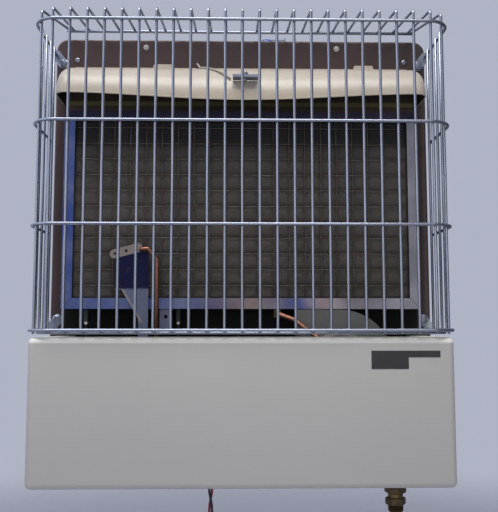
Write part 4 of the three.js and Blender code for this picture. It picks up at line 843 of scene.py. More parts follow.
def material_for(slot):
    """The finish of one of the record's material slots, made once."""
    tints = bpy.context.scene.heater_colours
    makers = {
        "brown_paint": lambda: baked_enamel(tuple(tints.pan)),
        "cream_paint": lambda: hood_enamel(tuple(tints.hood)),
        "grey_paint": lambda: housing_enamel(tuple(tints.housing)),
        "zinc": lambda: drawn_zinc(tuple(tints.zinc)),
        "bare_plate": lambda: spangled_plate("galvanised_plate", tuple(tints.plate)),
        "catalyst": lambda: catalyst_cloth(tuple(tints.cloth)),
        "screen_wire": lambda: metal_finish("screen_wire_browned", (0.17, 0.15, 0.135), 0.45,
                                            (0.12, 0.075, 0.04), 0.8, 90.0),
        "wool": lambda: coating("ceramic_wool", (0.72, 0.69, 0.62), 0.95, grain=1400.0, relief=0.3,
                                drift=60.0, rough_swing=0.04)[0],
        "copper": lambda: metal_finish("drawn_copper", tuple(tints.copper), 0.3, (0.13, 0.07, 0.045), 0.65),
        "brass": lambda: metal_finish("dull_brass", tuple(tints.brass), 0.42, (0.045, 0.035, 0.022), 0.8),
        "cast_grey": lambda: coating("cast_grey_paint", (0.165, 0.165, 0.160), 0.55, drift=20.0,
                                     grain=420.0, relief=0.12, wear=0.4, dust=0.3)[0],
        "ceramic": lambda: coating("glazed_ceramic", (0.70, 0.68, 0.62), 0.35, drift=80.0, relief=0.01)[0],
        "red_insulation": lambda: coating("red_insulation", (0.30, 0.012, 0.022), 0.42, drift=50.0,
                                          relief=0.01)[0],
        "black_insulation": lambda: coating("black_insulation", (0.012, 0.012, 0.013), 0.45, drift=50.0,
                                            second=(0.02, 0.02, 0.021), relief=0.01)[0],
        "black_rubber": lambda: coating("black_rubber", (0.018, 0.018, 0.018), 0.7, drift=60.0,
                                        second=(0.03, 0.03, 0.029), relief=0.03)[0],
        "blue_nylon": lambda: coating("blue_nylon", (0.012, 0.075, 0.42), 0.38, drift=60.0, relief=0.02)[0],
        "red_nylon": lambda: coating("red_nylon", (0.36, 0.02, 0.02), 0.36, drift=60.0, relief=0.02)[0],
    }
    if slot not in MATERIALS:
        MATERIALS[slot] = makers[slot]()
    return MATERIALS[slot]


def special(name, maker):
    """A finish that is only on one piece, made once."""
    if name not in MATERIALS:
        MATERIALS[name] = maker()
    return MATERIALS[name]


# ---- stage -----------------------------------------------------------------------------------------


class HEATER_OT_stage(bpy.types.Operator):
    """Make the camera, the soft studio light, the pale backdrop and the floor"""

    bl_idname = "heater.stage"
    bl_label = "Studio"

    def execute(self, context):
        sizes = context.scene.heater_stage
        self.camera(context, sizes)
        self.backdrop(context, sizes)
        self.lights(context)
        self.floor(context, sizes)
        context.scene.view_settings.view_transform = "Standard"
        return {"FINISHED"}

    def camera(self, context, sizes):
        lens = bpy.data.cameras.new("camera")
        lens.lens = sizes.lens
        lens.sensor_width = 36
        camera = bpy.data.objects.new("camera", lens)
        camera.location = sizes.camera
        camera.rotation_euler = (math.pi / 2 + sizes.tilt, 0, sizes.turn)
        context.scene.collection.objects.link(camera)
        context.scene.camera = camera

    def backdrop(self, context, sizes):
        """Pale where it is seen, with a bright side and a dim side for metal, and even light."""
        world = bpy.data.worlds.new("studio")
        context.scene.world = world
        world.use_nodes = True
        n = Nodes(world.node_tree)
        world.node_tree.nodes.clear()
        ray = n.new("ShaderNodeLightPath").outputs
        aim = n.axes(n.new("ShaderNodeTexCoord").outputs["Generated"])
        side = n.spread(aim["X"], -0.7, 0.7, 1.55, 0.35, soft=True)
        above = n.spread(aim["Z"], -0.5, 0.6, 0.45, 1.35, soft=True)
        gloss = n.times(side, above)
        seen = (*sizes.backdrop, 1)
        pale = n.new("ShaderNodeBackground", {"Color": seen, "Strength": 1.0}).outputs[0]
        shaped = n.new("ShaderNodeBackground", {"Color": seen, "Strength": gloss}).outputs[0]
        even = n.new("ShaderNodeBackground", {"Color": (0.86, 0.89, 1.0, 1), "Strength": 0.25}).outputs[0]
        lit = n.new("ShaderNodeMixShader", {0: ray["Is Glossy Ray"], 1: even, 2: shaped}).outputs[0]
        shown = n.maths("MAXIMUM", ray["Is Camera Ray"], ray["Is Transmission Ray"])
        result = n.new("ShaderNodeMixShader", {0: shown, 1: lit, 2: pale}).outputs[0]
        n.new("ShaderNodeOutputWorld", {"Surface": result})

    def lights(self, context):
        middle = (CAD_BOX[0] + CAD_BOX[1]) / 2
        lamps = [
            ("sky", (-0.15, -0.66, 1.45), 1.7, 0.9, 31.0, (1.0, 0.985, 0.96)),
            ("left", (-1.9, -1.2, 0.35), 1.2, 1.2, 4.0, (0.95, 0.97, 1.0)),
            ("front", (0.5, -2.6, -0.1), 1.6, 1.2, 7.0, (1.0, 0.99, 0.97)),
        ]
        for name, spot, width, height, power, tint in lamps:
            lamp = bpy.data.lights.new(name, "AREA")
            lamp.shape = "RECTANGLE"
            lamp.size, lamp.size_y = width, height
            lamp.energy = power
            lamp.color = tint
            holder = bpy.data.objects.new(name, lamp)
            holder.location = spot
            holder.rotation_euler = (middle - Vector(spot)).to_track_quat("-Z", "Y").to_euler()
            context.scene.collection.objects.link(holder)

    def floor(self, context, sizes):
        """A round pale floor that fades out before its rim."""
        plan = Plan()
        drop = CAD_BOX[0].z - sizes.floor_drop
        centre = Vector((0, -0.25, drop))
        turned(plan, [(1.5, 0), (1.5, mm(2))], centre, sides=96)
        piece = bpy.data.objects.new("floor", plan.mesh("floor"))
        context.scene.collection.objects.link(piece)
        material, n, shader = new_material("pale_floor")
        fine = n.shared(shared_groups()["grain"], {"Scale": 60.0, "Drift": 2.0})
        look = n.blend(tuple(c * 1.18 for c in sizes.backdrop), tuple(c * 1.1 for c in sizes.backdrop),
                       fine["Tone"])
        n.feed(shader.inputs["Base Color"], look)
        shader.inputs["Roughness"].default_value = 0.8
        away = n.new("ShaderNodeVectorMath", {0: n.place(), 1: centre}, operation="DISTANCE")
        fade = n.spread(away.outputs["Value"], 0.55, 1.45, 1.0, 0.0, soft=True)
        n.feed(shader.inputs["Alpha"], fade)
        piece.data.materials.append(material)


# ---- low voltage leads -----------------------------------------------------------------------------

LEAD_EXIT = at(-38, -81, -186.1)
LEAD_D = mm(3)
RED_ROUTE = [
    (1.7, 0, 0), (1.8, 0, -6), (1.6, 0.9, -12), (0.4, 1.7, -19), (-1.2, 1.2, -26), (-1.8, -0.2, -34),
    (-1.2, -1.4, -42), (0.2, -1.8, -50), (1.5, -1.1, -59), (2.1, 0.2, -68), (2.5, 0.6, -76),
    (2.9, 0.8, -84), (3.4, 0.8, -92), (3.9, 0.6, -101), (4.5, 0.3, -110), (5, 0, -120),
]
BLACK_ROUTE = [(-x, -y, z) for x, y, z in RED_ROUTE]


class HEATER_OT_leads(bpy.types.Operator):
    """Make the red and black low voltage leads and the crimp splices on their ends"""

    bl_idname = "heater.leads"
    bl_label = "Low voltage leads"

    def execute(self, context):
        for tint, route in (("red", RED_ROUTE), ("black", BLACK_ROUTE)):
            points = [LEAD_EXIT + Vector(mm(*point)) for point in route]
            splice = self.splice(tint, points[-1])
            curve = bpy.data.curves.new(f"{tint}_lead", "CURVE")
            curve.dimensions = "3D"
            curve.bevel_depth = LEAD_D / 2
            curve.bevel_resolution = 4
            curve.use_fill_caps = True
            spline = curve.splines.new("POLY")
            spline.points.add(len(points) - 1)
            for knot, point in zip(spline.points, points):
                knot.co = (*point, 1)
            spline.use_smooth = True
            lead = bpy.data.objects.new(f"{tint}_lead", curve)
            context.scene.collection.objects.link(lead)
            slot = f"{tint}_insulation"
            place(lead, material_for(slot), slot, instead_of=(f"lead_{tint}",))
        return {"FINISHED"}

    def splice(self, tint, end):
        """A crimp splice with a bell mouth and two crimped waists."""
        r = mm(3)
        lengths = [(0.75, 0), (1.0, 0.8), (1.0, 5), (0.80, 6.4), (0.80, 8.6), (1.0, 10), (1.0, 13.2),
                   (0.80, 14.6), (0.80, 16.8), (1.0, 18.2), (1.0, 22.5), (0.86, 23.5), (0.6, 24)]
        plan = Plan()
        top = end - Vector((0, 0, mm(0.3)))
        turned(plan, [(r * share, -mm(drop)) for share, drop in lengths], top, sides=24)
        slot = "red_nylon" if tint == "red" else "black_insulation"
        return build(plan, f"{tint}_splice", material_for(slot), slot, instead_of=(f"splice_{tint}",))


# ---- back pan and what holds it --------------------------------------------------------------------


def pan_outline(half, foot, top, inset, y, foot_corner, top_corner, steps=8):
    """One closed loop of the pan's outline, inset from its edge, at depth y."""
    low, high = foot + inset, top - inset
    reach = half - inset
    r0, r1 = foot_corner, max(top_corner - inset, mm(0.5))
    corners = [(reach - r0, low + r0, r0, -90), (reach - r1, high - r1, r1, 0),
               (-reach + r1, high - r1, r1, 90), (-reach + r0, low + r0, r0, 180)]
    loop = []
    for x, z, r, start in corners:
        for i in range(steps + 1):
            a = math.radians(start + 90 * i / steps)
            loop.append(Vector((x + r * math.cos(a), y, z + r * math.sin(a))))
    return loop


class HEATER_OT_back_pan(bpy.types.Operator):
    """Make the brown enamelled back pan with its rolled edge, back lip and hook notch"""

    bl_idname = "heater.back_pan"
    bl_label = "Back pan"

    def execute(self, context):
        sizes = context.scene.heater_case
        t, lip = sizes.sheet, sizes.pan_lip
        half = PAN_HIGH.x
        edge = mm(2.4)
        arc = [math.radians(a) for a in (0, 22.5, 45, 67.5, 90)]

        def loop(inset, y):
            return pan_outline(half, PAN_LOW.z, PAN_HIGH.z, inset, y, mm(3), sizes.pan_corner)

        outside = [(edge + mm(0.6), PAN_FACE)]
        outside += [(edge * (1 - math.sin(a)), PAN_FACE + edge * (1 - math.cos(a))) for a in arc]
        outside += [(mm(0), -mm(1.5)), (mm(0.45), -mm(0.45)), (mm(1.5), 0.0), (lip, 0.0), (lip, -t)]
        inner_edge = edge - t
        inside = [(t + mm(1), -t), (t, -t - mm(1))]
        inside += [(t + inner_edge * (1 - math.sin(a)), PAN_FACE + t + inner_edge * (1 - math.cos(a)))
                   for a in reversed(arc)]
        inside += [(edge + mm(0.6), PAN_FACE + t)]
        plan = Plan()
        plan.skin([loop(inset, y) for inset, y in outside + inside])
        pan = build(plan, "enamelled_pan", material_for("brown_paint"), "brown_paint",
                    instead_of=("back_pan",), degrees=35)
        notch = Plan()
        slab(notch, (mm(20), -mm(14), PAN_HIGH.z - mm(15)), (mm(68), mm(1), PAN_HIGH.z + mm(1)))
        carve(pan, notch)
        smooth(pan, 35)
        return {"FINISHED"}


class HEATER_OT_fasteners(bpy.types.Operator):
    """Make the guard bolts, rivets, pan screws and the hook's cap"""

    bl_idname = "heater.fasteners"
    bl_label = "Fasteners"

    def execute(self, context):
        for side in ("left", "right"):
            self.rivet(side)
            self.pan_screw(side)
            for row in ("lower", "upper"):
                self.guard_bolt(f"{row}_{side}")
        self.hook_cap()
        return {"FINISHED"}

    def middle(self, node):
        low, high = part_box(node)
        return Vector(((low.x + high.x) / 2, 0, (low.z + high.z) / 2)), -low.y, -high.y

    def rivet(self, side):
        node = f"rail_rivet_{side}"
        centre, front, back = self.middle(node)
        plan = Plan()
        seat = front - mm(2.4)
        tail = lifted(back, (3, 0), (3, 1.6), (2, 2)) + lifted(seat, (2, 0), (4, 0))
        turned(plan, tail + dome(mm(4), seat + mm(0.3), mm(2.1)), centre, FRONTWARD, 28)
        build(plan, f"dome_rivet_{side}", special("rivet_paint", lambda: coating(
            "rivet_paint", (0.62, 0.60, 0.57), 0.35, drift=90.0, relief=0.01, wear=0.3)[0]), "ceramic",
            instead_of=(node,))

    def pan_screw(self, side):
        node = f"pan_screw_{side}"
        centre, front, back = self.middle(node)
        seat = front - mm(2)
        plan = Plan()
        shank = lifted(back, (0.8, 0), (1.7, 1.2)) + lifted(seat, (1.7, 0), (3.6, 0))
        crown = dome(mm(3.6), seat + mm(0.4), mm(1.6))[:-2]
        socket = lifted(seat, (1.2, 0.9), (0, 0.7))
        turned(plan, shank + crown + socket, centre, FRONTWARD, 24)
        build(plan, f"pan_head_screw_{side}", material_for("zinc"), "zinc", instead_of=(node,))

    def guard_bolt(self, name):
        node = f"guard_bolt_{name}"
        centre, front, back = self.middle(node)
        seat = front - mm(5.3)
        plan = Plan()
        shank = lifted(back, (1.8, 0), (2.5, 0.8))
        washer = lifted(seat, (2.5, 0), (6.7, 0), (6.7, 0.6), (6.2, 1), (5.2, 1.3), (0, 1.4))
        turned(plan, shank + washer, centre, FRONTWARD, 36)
        hexagon(plan, mm(10), seat + mm(1.1), front - mm(0.3), centre, FRONTWARD)
        turned(plan, lifted(front, (4, -0.5), (3.4, -0.1), (2.6, -0.05)), centre, FRONTWARD, 28)
        build(plan, f"flanged_bolt_{name}", material_for("zinc"), "zinc", instead_of=(node,), degrees=30)

    def hook_cap(self):
        centre, front, back = self.middle("hook_cap")
        radius = (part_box("hook_cap")[1].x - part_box("hook_cap")[0].x) / 2
        plan = Plan()
        turned(plan, [(radius * 0.96, back), (radius, back + mm(0.3))]
               + dome(radius, back + mm(0.7), front - back - mm(0.7), 8), centre, FRONTWARD, 36)
        build(plan, "blue_hook_cap", material_for("blue_nylon"), "blue_nylon", instead_of=("hook_cap",))


# ---- wire guard ------------------------------------------------------------------------------------


class HEATER_OT_wire_guard(bpy.types.Operator):
    """Make the welded wire guard: uprights with bent tops, rings, rods, side wires and weld beads"""

    bl_idname = "heater.wire_guard"
    bl_label = "Wire guard"

    def execute(self, context):
        s = context.scene.heater_guard
        self.plan = Plan()
        self.draw = random.Random(7)
        self.cross = s.wire / 2 + s.ring / 2 - s.weld
        self.ring_y = FRONT_LOW.y + s.ring / 2
        self.front_y = self.ring_y + self.cross
        self.ring_x = FRONT_HIGH.x - s.ring / 2
        self.heights = [FOOT_RING + s.ring_step * i for i in range(s.rings)]
        self.uprights(s)
        self.rings(s)
        self.sides(s)
        build(self.plan, "welded_guard", material_for("zinc"), "zinc", degrees=50,
              instead_of=("guard_front", "guard_top", "guard_side_left", "guard_side_right"))
        return {"FINISHED"}

    def bead(self, point, aim, size=mm(1.5)):
        """A small weld bead where two wires cross, squeezed along aim."""
        turn = aim.to_track_quat("Z", "Y").to_matrix()
        turned(self.plan, [(size * 0.45, -size * 0.6), (size, -size * 0.25), (size, size * 0.25),
                           (size * 0.45, size * 0.6)], point, turn, 8)

    def uprights(self, s):
        rod_y = self.front_y + s.rod_back
        tail = rod_y + mm(8)
        slope = s.rise / s.rod_back
        top = FOOT_RING + s.top
        last = (s.uprights - 1) / 2 * s.pitch
        rod_end = last + mm(3)
        rod_z = top + s.rise - self.cross
        inner = s.bend - self.cross
        corner_x = self.ring_x - s.bend + inner * math.sin(s.corner)
        corner_y = self.ring_y + s.bend - inner * math.cos(s.corner)
        wires = []
        for x in (i * s.pitch - last for i in range(s.uprights)):
            past = max(0.0, abs(x) - (self.ring_x - s.bend))
            wires.append((x, self.front_y + inner - math.sqrt(inner * inner - past * past), x, (0, -1)))
        lean = (math.sin(s.corner), -math.cos(s.corner))
        for side in (-1, 1):
            wires.append((side * corner_x, corner_y, side * rod_end, (side * lean[0], lean[1])))
        foot = self.heights[0] - s.foot_drop - s.ring * 0.4
        for x, y, end_x, outward in wires:
            end = Vector((end_x, tail, top + slope * (tail - y)))
            path = rounded([Vector((x, y, foot)), Vector((x, y, top)), end], mm(5), 7)
            body = [path[0]]
            for low, high in zip(self.heights, self.heights[1:]):
                bow = self.draw.uniform(-mm(0.3), mm(0.3))
                body.append(Vector((x, y, low + mm(1))))
                body.append(Vector((x + bow, y, (low + high) / 2)))
            body.append(Vector((x, y, self.heights[-1] + mm(1))))
            tube(self.plan, body + path[1:], s.wire / 2)
            reach = (s.wire - s.weld) / 2
            aim = Vector((*outward, 0))
            for z in self.heights:
                self.bead(Vector((x, y, z)) + aim * reach, aim)
            share = (rod_y - y) / (tail - y)
            self.bead(Vector((x + (end_x - x) * share, rod_y, rod_z + s.ring / 2 - s.weld / 2)), UPWARD)
        tube(self.plan, [Vector((-rod_end - mm(5), rod_y, rod_z)), Vector((rod_end + mm(5), rod_y, rod_z))],
             s.ring / 2, 14)
        rod_foot = self.heights[0] - s.foot_drop
        reach_x = last + s.pitch / 2
        tube(self.plan, [Vector((side * reach_x, self.front_y + self.cross, rod_foot)) for side in (-1, 1)],
             s.ring * 0.4, 14)

    def rings(self, s):
        for i, z in enumerate(self.heights):
            outer = i in (0, s.rings - 1)
            end = RING_HIGH.y if outer else self.front_y + s.side_reach
            corners = [(-self.ring_x, end), (-self.ring_x, self.ring_y), (self.ring_x, self.ring_y),
                       (self.ring_x, end)]
            path = rounded([Vector((x, y, z)) for x, y in corners], s.bend - mm(0.01), 8)
            tube(self.plan, path, s.ring / 2, 14)

    def sides(self, s):
        x = self.ring_x - self.cross
        reach = (s.wire - s.weld) / 2
        for side in (-1, 1):
            for i in range(s.side_wires):
                y = self.front_y + s.side_first + s.side_pitch * i
                low = Vector((side * x, y, RING_LOW.z + mm(0.2)))
                high = Vector((side * x, y, self.heights[-1] + s.ring / 2))
                tube(self.plan, [low, high], s.wire / 2)
                for z in self.heights:
                    self.bead(Vector((side * (x + reach), y, z)), Vector((side, 0, 0)))


# ---- quilted pad, screen and wool ------------------------------------------------------------------


CLOTH_FRAMES = 15                             # enough for the cloth to fill out


class HEATER_OT_quilted_pad(bpy.types.Operator):
    """Make the quilted catalyst pad, swelled cell by cell, and the wool layer behind it"""

    bl_idname = "heater.quilted_pad"
    bl_label = "Quilted pad"

    def execute(self, context):
        s = context.scene.heater_pad
        self.pad(context, s)
        self.wool()
        return {"FINISHED"}

    def lines(self, low, high, first, step, fine):
        """Grid lines from low to high that fall exactly on the stitch lines."""
        along = [first + step * i for i in range(-2, 24)]
        stitches = [place for place in along if low + mm(1) < place < high - mm(1)]
        marks = [low] + stitches + [high]
        places = []
        for a, b in zip(marks, marks[1:]):
            count = max(2, round((b - a) / fine))
            places += [a + (b - a) * i / count for i in range(count)]
        return places + [high], stitches

    def pad(self, context, s):
        foot = FOOT_RING + s.window_foot
        xs, stitch_x = self.lines(PAD_LOW.x, PAD_HIGH.x, (s.cell - s.window) / 2, s.cell, mm(3.5))
        zs, stitch_z = self.lines(PAD_LOW.z, PAD_HIGH.z, foot + s.first_row, s.cell, mm(3.5))
        valley = PAD_LOW.y + mm(2.6)
        inside = (s.window / 2 - mm(0.5), foot + mm(0.5), foot + s.window_height - mm(0.5))
        back = len(xs) * len(zs)
        corners = [(x, y, z) for y in (valley, PAD_HIGH.y) for z in zs for x in xs]
        data = bpy.data.meshes.new("quilted_pad")
        data.from_pydata(corners, [], closed_grids(len(xs), len(zs)))
        pad = bpy.data.objects.new("quilted_pad", data)
        context.scene.collection.objects.link(pad)
        held = pad.vertex_groups.new(name="sewn")
        close = mm(0.4)
        for index, (x, _, z) in enumerate(corners):
            border = abs(x) > inside[0] or z < inside[1] or z > inside[2]
            sewn = any(abs(x - line) < close for line in stitch_x)
            sewn = sewn or any(abs(z - line) < close for line in stitch_z)
            if index >= back or border:
                held.add([index], 1.0, "REPLACE")
            elif sewn:
                held.add([index], 0.9, "REPLACE")
        self.swell(context, s, pad, valley, back, stitch_x, stitch_z, inside)
        fold = pad.modifiers.new("Smooth", "SUBSURF")
        fold.levels = fold.render_levels = 1
        keep_modifiers(pad)
        smooth(pad, 60)
        place(pad, material_for("catalyst"), "catalyst", instead_of=("catalyst_pad",))

    def swell(self, context, s, pad, valley, back, stitch_x, stitch_z, inside):
        """Cloth under light pressure between its sewn lines, then the stitch grooves and slack."""
        rest = [vertex.co.copy() for vertex in pad.data.vertices]
        cloth = pad.modifiers.new("Cloth", "CLOTH")
        cloth.settings.quality = 4
        cloth.settings.mass = 0.2
        cloth.settings.tension_stiffness = 12
        cloth.settings.compression_stiffness = 12
        cloth.settings.bending_stiffness = 0.6
        cloth.settings.use_pressure = True
        cloth.settings.uniform_pressure_force = 5.0
        cloth.settings.effector_weights.gravity = 0
        cloth.settings.vertex_group_mass = "sewn"
        cloth.settings.shrink_min = -0.06
        cloth.collision_settings.use_collision = False
        for step in range(1, CLOTH_FRAMES + 1):
            context.scene.frame_set(step)
        graph = context.evaluated_depsgraph_get()
        moved = [vertex.co.copy() for vertex in pad.evaluated_get(graph).data.vertices]
        pad.modifiers.clear()
        context.scene.frame_set(1)
        xs = [-s.window / 2] + stitch_x + [s.window / 2]
        zs = [inside[1]] + stitch_z + [inside[2]]

        def share(value, marks):
            for low, high in zip(marks, marks[1:]):
                if low - mm(0.1) <= value <= high + mm(0.1) and high - low > mm(2):
                    return max(0.0, math.sin(math.pi * (value - low) / (high - low)))
            return 0.0

        limit = mm(1.2)
        for index, vertex in enumerate(pad.data.vertices):
            if index >= back:
                continue
            x, _, z = rest[index]
            puff = math.sqrt(share(x, xs)) * math.sqrt(share(z, zs))
            drift = Vector((max(-limit, min(limit, part)) for part in moved[index] - rest[index]))
            wrinkle = noise.noise(Vector((x * 160, z * 160, 3.1))) * mm(0.5) * puff
            swell = s.crown * puff * (0.82 + 0.25 * noise.noise(Vector((x * 40, z * 40, 9.7))))
            if abs(x) < inside[0] and inside[1] < z < inside[2]:
                ahead = min(0.0, drift.y)
                y_new = min(valley + mm(0.9) * (1 - puff), valley - swell - wrinkle * 0.6 + ahead)
                y_new = max(y_new, PAD_LOW.y - mm(1.3))
                vertex.co = Vector((x + drift.x * 0.6 * puff, y_new, z + drift.z * 0.6 * puff))

    def wool(self):
        across, up = 34, 24                   # tufts
        corners = []
        for y, sign in ((WOOL_HIGH.y, 1), (WOOL_LOW.y, -1)):
            for k in range(up + 1):
                for i in range(across + 1):
                    x = WOOL_LOW.x + (WOOL_HIGH.x - WOOL_LOW.x) * i / across
                    z = WOOL_LOW.z + (WOOL_HIGH.z - WOOL_LOW.z) * k / up
                    tuft = abs(noise.noise(Vector((x * 60, sign * 5.0, z * 60)))) * mm(0.8)
                    corners.append(Vector((x, y - sign * tuft, z)))
        plan = Plan()
        plan.add(corners, closed_grids(across + 1, up + 1))
        wool = build(plan, "wool_slab", material_for("wool"), "wool", instead_of=("wool_layer",),
                     degrees=60)


class HEATER_OT_pad_screen(bpy.types.Operator):
    """Make the thin wire screen that holds the pad in its frame"""

    bl_idname = "heater.pad_screen"
    bl_label = "Pad screen"

    def execute(self, context):
        s = context.scene.heater_pad
        plan = Plan()
        r = s.screen_wire / 2
        front, rear = SCREEN_LOW.y + r, SCREEN_HIGH.y - r
        draw = random.Random(3)
        columns = int(s.window / s.cell) - 1
        for i in range(1, columns):
            x = (s.cell - s.window) / 2 + i * s.cell
            foot, top = Vector((x, front, SCREEN_LOW.z)), Vector((x, front, SCREEN_HIGH.z))
            tube(plan, self.strung(draw, foot, top, 6, Vector((1, 0, 0))), r, 8)
        z = FOOT_RING + s.window_foot + s.first_row
        while z < FOOT_RING + s.window_foot + s.window_height:
            left, right = Vector((SCREEN_LOW.x, rear, z)), Vector((SCREEN_HIGH.x, rear, z))
            tube(plan, self.strung(draw, left, right, 10, UPWARD), r, 8)
            z += s.cell
        build(plan, "wire_screen", material_for("screen_wire"), "screen_wire", instead_of=("pad_screen",),
              degrees=60)
        return {"FINISHED"}

    def strung(self, draw, start, end, spans, aside):
        """A long thin wire that wanders a little between its fixed ends."""
        path = [start]
        for i in range(1, spans):
            path.append(start.lerp(end, i / spans) + aside * draw.uniform(-mm(0.5), mm(0.5)))
        return path + [end]


# ---- deflector hood --------------------------------------------------------------------------------


def hood_lip(s, x):
    """Height of the lip at x: lowest in the middle."""
    return HOOD_LOW.z + s.crown - s.crown * math.cos(math.pi * x / (2 * HOOD_HIGH.x)) ** 2


class HEATER_OT_deflector_hood(bpy.types.Operator):
    """Make the cream deflector hood with its rolled lip, rounded ends, top flange and tabs"""

    bl_idname = "heater.deflector_hood"
    bl_label = "Deflector hood"

    def execute(self, context):
        s = context.scene.heater_hood
        self.half = HOOD_HIGH.x
        self.back = HOOD_HIGH.y
        shell = self.shell(context, s)
        plan = Plan()
        path = [Vector((x, *self.point(s, x, 0.02))) + Vector((0, s.hem * 0.9, s.hem * 0.2))
                for x in (self.half * 0.992 * (i / 60 - 1) for i in range(121))]
        tube(plan, path, s.hem, 10, chamfer=0.8)
        self.flange(plan, context.scene.heater_case.sheet)
        trim = build(plan, "hood_trim", None, "cream_paint")
        trim.data.materials.append(material_for("cream_paint"))
        self.unite(shell, trim)
        return {"FINISHED"}

    def point(self, s, x, turn):
        """The outer surface at x, at a turn from the lip (0) up to the pan (90 degrees)."""
        past = max(0.0, (abs(x) - (self.half - s.end)) / s.end)
        scale = 1 - s.shrink * (1 - math.sqrt(max(0.0, 1 - past * past)))
        lip = hood_lip(s, x)
        return self.back - s.reach * scale * math.cos(turn), lip + (HOOD_TOP - lip) * scale * math.sin(turn)

    def shell(self, context, s):
        arc = 20
        bend = [math.sin(math.radians(a)) for a in range(0, 90, 9)] + [1.0]
        flat = self.half - s.end
        half_row = [flat * i / 24 for i in range(24)] + [flat + s.end * q for q in bend]
        xs = [-x for x in reversed(half_row[1:])] + half_row
        plan = Plan()
        corners = []
        for x in xs:
            for i in range(arc + 1):
                corners.append(Vector((x, *self.point(s, x, math.pi / 2 * i / arc))))
        wide = arc + 1
        faces = [[c * wide + i, c * wide + i + 1, (c + 1) * wide + i + 1, (c + 1) * wide + i]
                 for c in range(len(xs) - 1) for i in range(arc)]
        for column in (0, len(xs) - 1):
            start = column * wide
            foot = len(corners)
            corners.append(Vector((xs[column], self.back, hood_lip(s, xs[column]))))
            loop = [start + i for i in range(wide)] + [foot]
            faces.append(loop if column else loop[::-1])
        plan.add(corners, faces)
        hood = build(plan, "cream_hood", material_for("cream_paint"), "cream_paint",
                     instead_of=("canopy_hood",), degrees=50)
        self.face_out(hood)
        hood.data.materials.append(special("hood_inner", hood_inner_heat_and_reflection))
        thicken(hood, context.scene.heater_case.sheet, even=False, lining=1)
        smooth(hood, 50)
        return hood

    def face_out(self, hood):
        """Turns the open sheet's faces to the room."""
        with edited(hood.data) as shaped:
            wrong = sum(1 for face in shaped.faces if face.normal.y > 0.05)
            if wrong > len(shaped.faces) / 2:
                bmesh.ops.reverse_faces(shaped, faces=shaped.faces)

    def flange(self, plan, sheet):
        reach = self.half - mm(14)
        foot = HOOD_TOP - mm(2.4)
        slab(plan, (-reach, self.back - sheet, foot), (reach, self.back, HOOD_TOP + mm(5)))
        low, high = HOOD_TOP + mm(5), HOOD_TOP + mm(10)
        for x in TAB_X:
            half = [(mm(14), low - mm(1)), (mm(14), low), (mm(13), high - mm(1)), (mm(12), high)]
            ring = [(x + a, b) for a, b in half] + [(x - a, b) for a, b in reversed(half)]
            plan.skin([[Vector((a, y, b)) for a, b in ring] for y in (self.back - sheet * 1.1, self.back)])

    def unite(self, shell, trim):
        """Puts the trim's faces into the hood's mesh."""
        with edited(shell.data) as shaped:
            shaped.from_mesh(trim.data)
        data = trim.data
        bpy.data.objects.remove(trim)
        bpy.data.meshes.remove(data)
        smooth(shell, 50)


class HEATER_OT_hood_sensor(bpy.types.Operator):
    """Make the nuts and stem on the hood's clip, and the pale sleeve that runs to it"""

    bl_idname = "heater.hood_sensor"
    bl_label = "Hood sensor"

    def execute(self, context):
        low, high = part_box("clip_screw")
        centre = axis_of("clip_screw")
        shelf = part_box("sensor_clip")[0].z + mm(1.5)
        plan = Plan()
        stem = lifted(low.z, (1.6, 0), (2, 0.6)) + lifted(shelf, (2, 4.6))
        turned(plan, stem, centre, sides=20)
        hexagon(plan, mm(7), shelf, shelf + mm(2.6), centre)
        turned(plan, lifted(shelf, (4.3, 3.4), (4.3, 4.0)), centre, sides=28)
        hexagon(plan, mm(6.6), shelf + mm(4.0), shelf + mm(6.4), centre)
        cap = dome(mm(2.9), shelf + mm(6.6), high.z - shelf - mm(6.6))
        turned(plan, lifted(shelf, (2.9, 6.3)) + cap, centre, sides=20)
        for i in range(4):
            z = low.z + mm(0.9 + 0.7 * i)
            turned(plan, lifted(z, (1.9, 0), (2.15, 0.2), (1.9, 0.4)), centre, sides=20)
        build(plan, "clip_nuts", material_for("zinc"), "zinc", instead_of=("clip_screw",), degrees=35)
        self.sleeve(context)
        return {"FINISHED"}

    def sleeve(self, context):
        s = context.scene.heater_hood
        radius = mm(1.3)
        clear = radius + mm(0.5)
        start, end = mm(-60, -14.6)
        path = [Vector((mm(-61), PAN_FACE - mm(0.9), HOOD_TOP + mm(11)))]
        steps = 12
        for i in range(1, steps + 1):
            share = i / steps
            x = start + (end - start) * share
            turn = math.radians(78 - 48 * share)
            lip = hood_lip(s, x)
            path.append(Vector((x, HOOD_HIGH.y - (s.reach + clear) * math.cos(turn),
                                lip + (HOOD_TOP - lip + clear) * math.sin(turn))))
        plan = Plan()
        tube(plan, path, radius, 14)
        build(plan, "pale_sleeve", special("sleeve", woven_sleeve), "ceramic",
              instead_of=("sensor_sleeve",), degrees=60)


# ---- housing ---------------------------------------------------------------------------------------


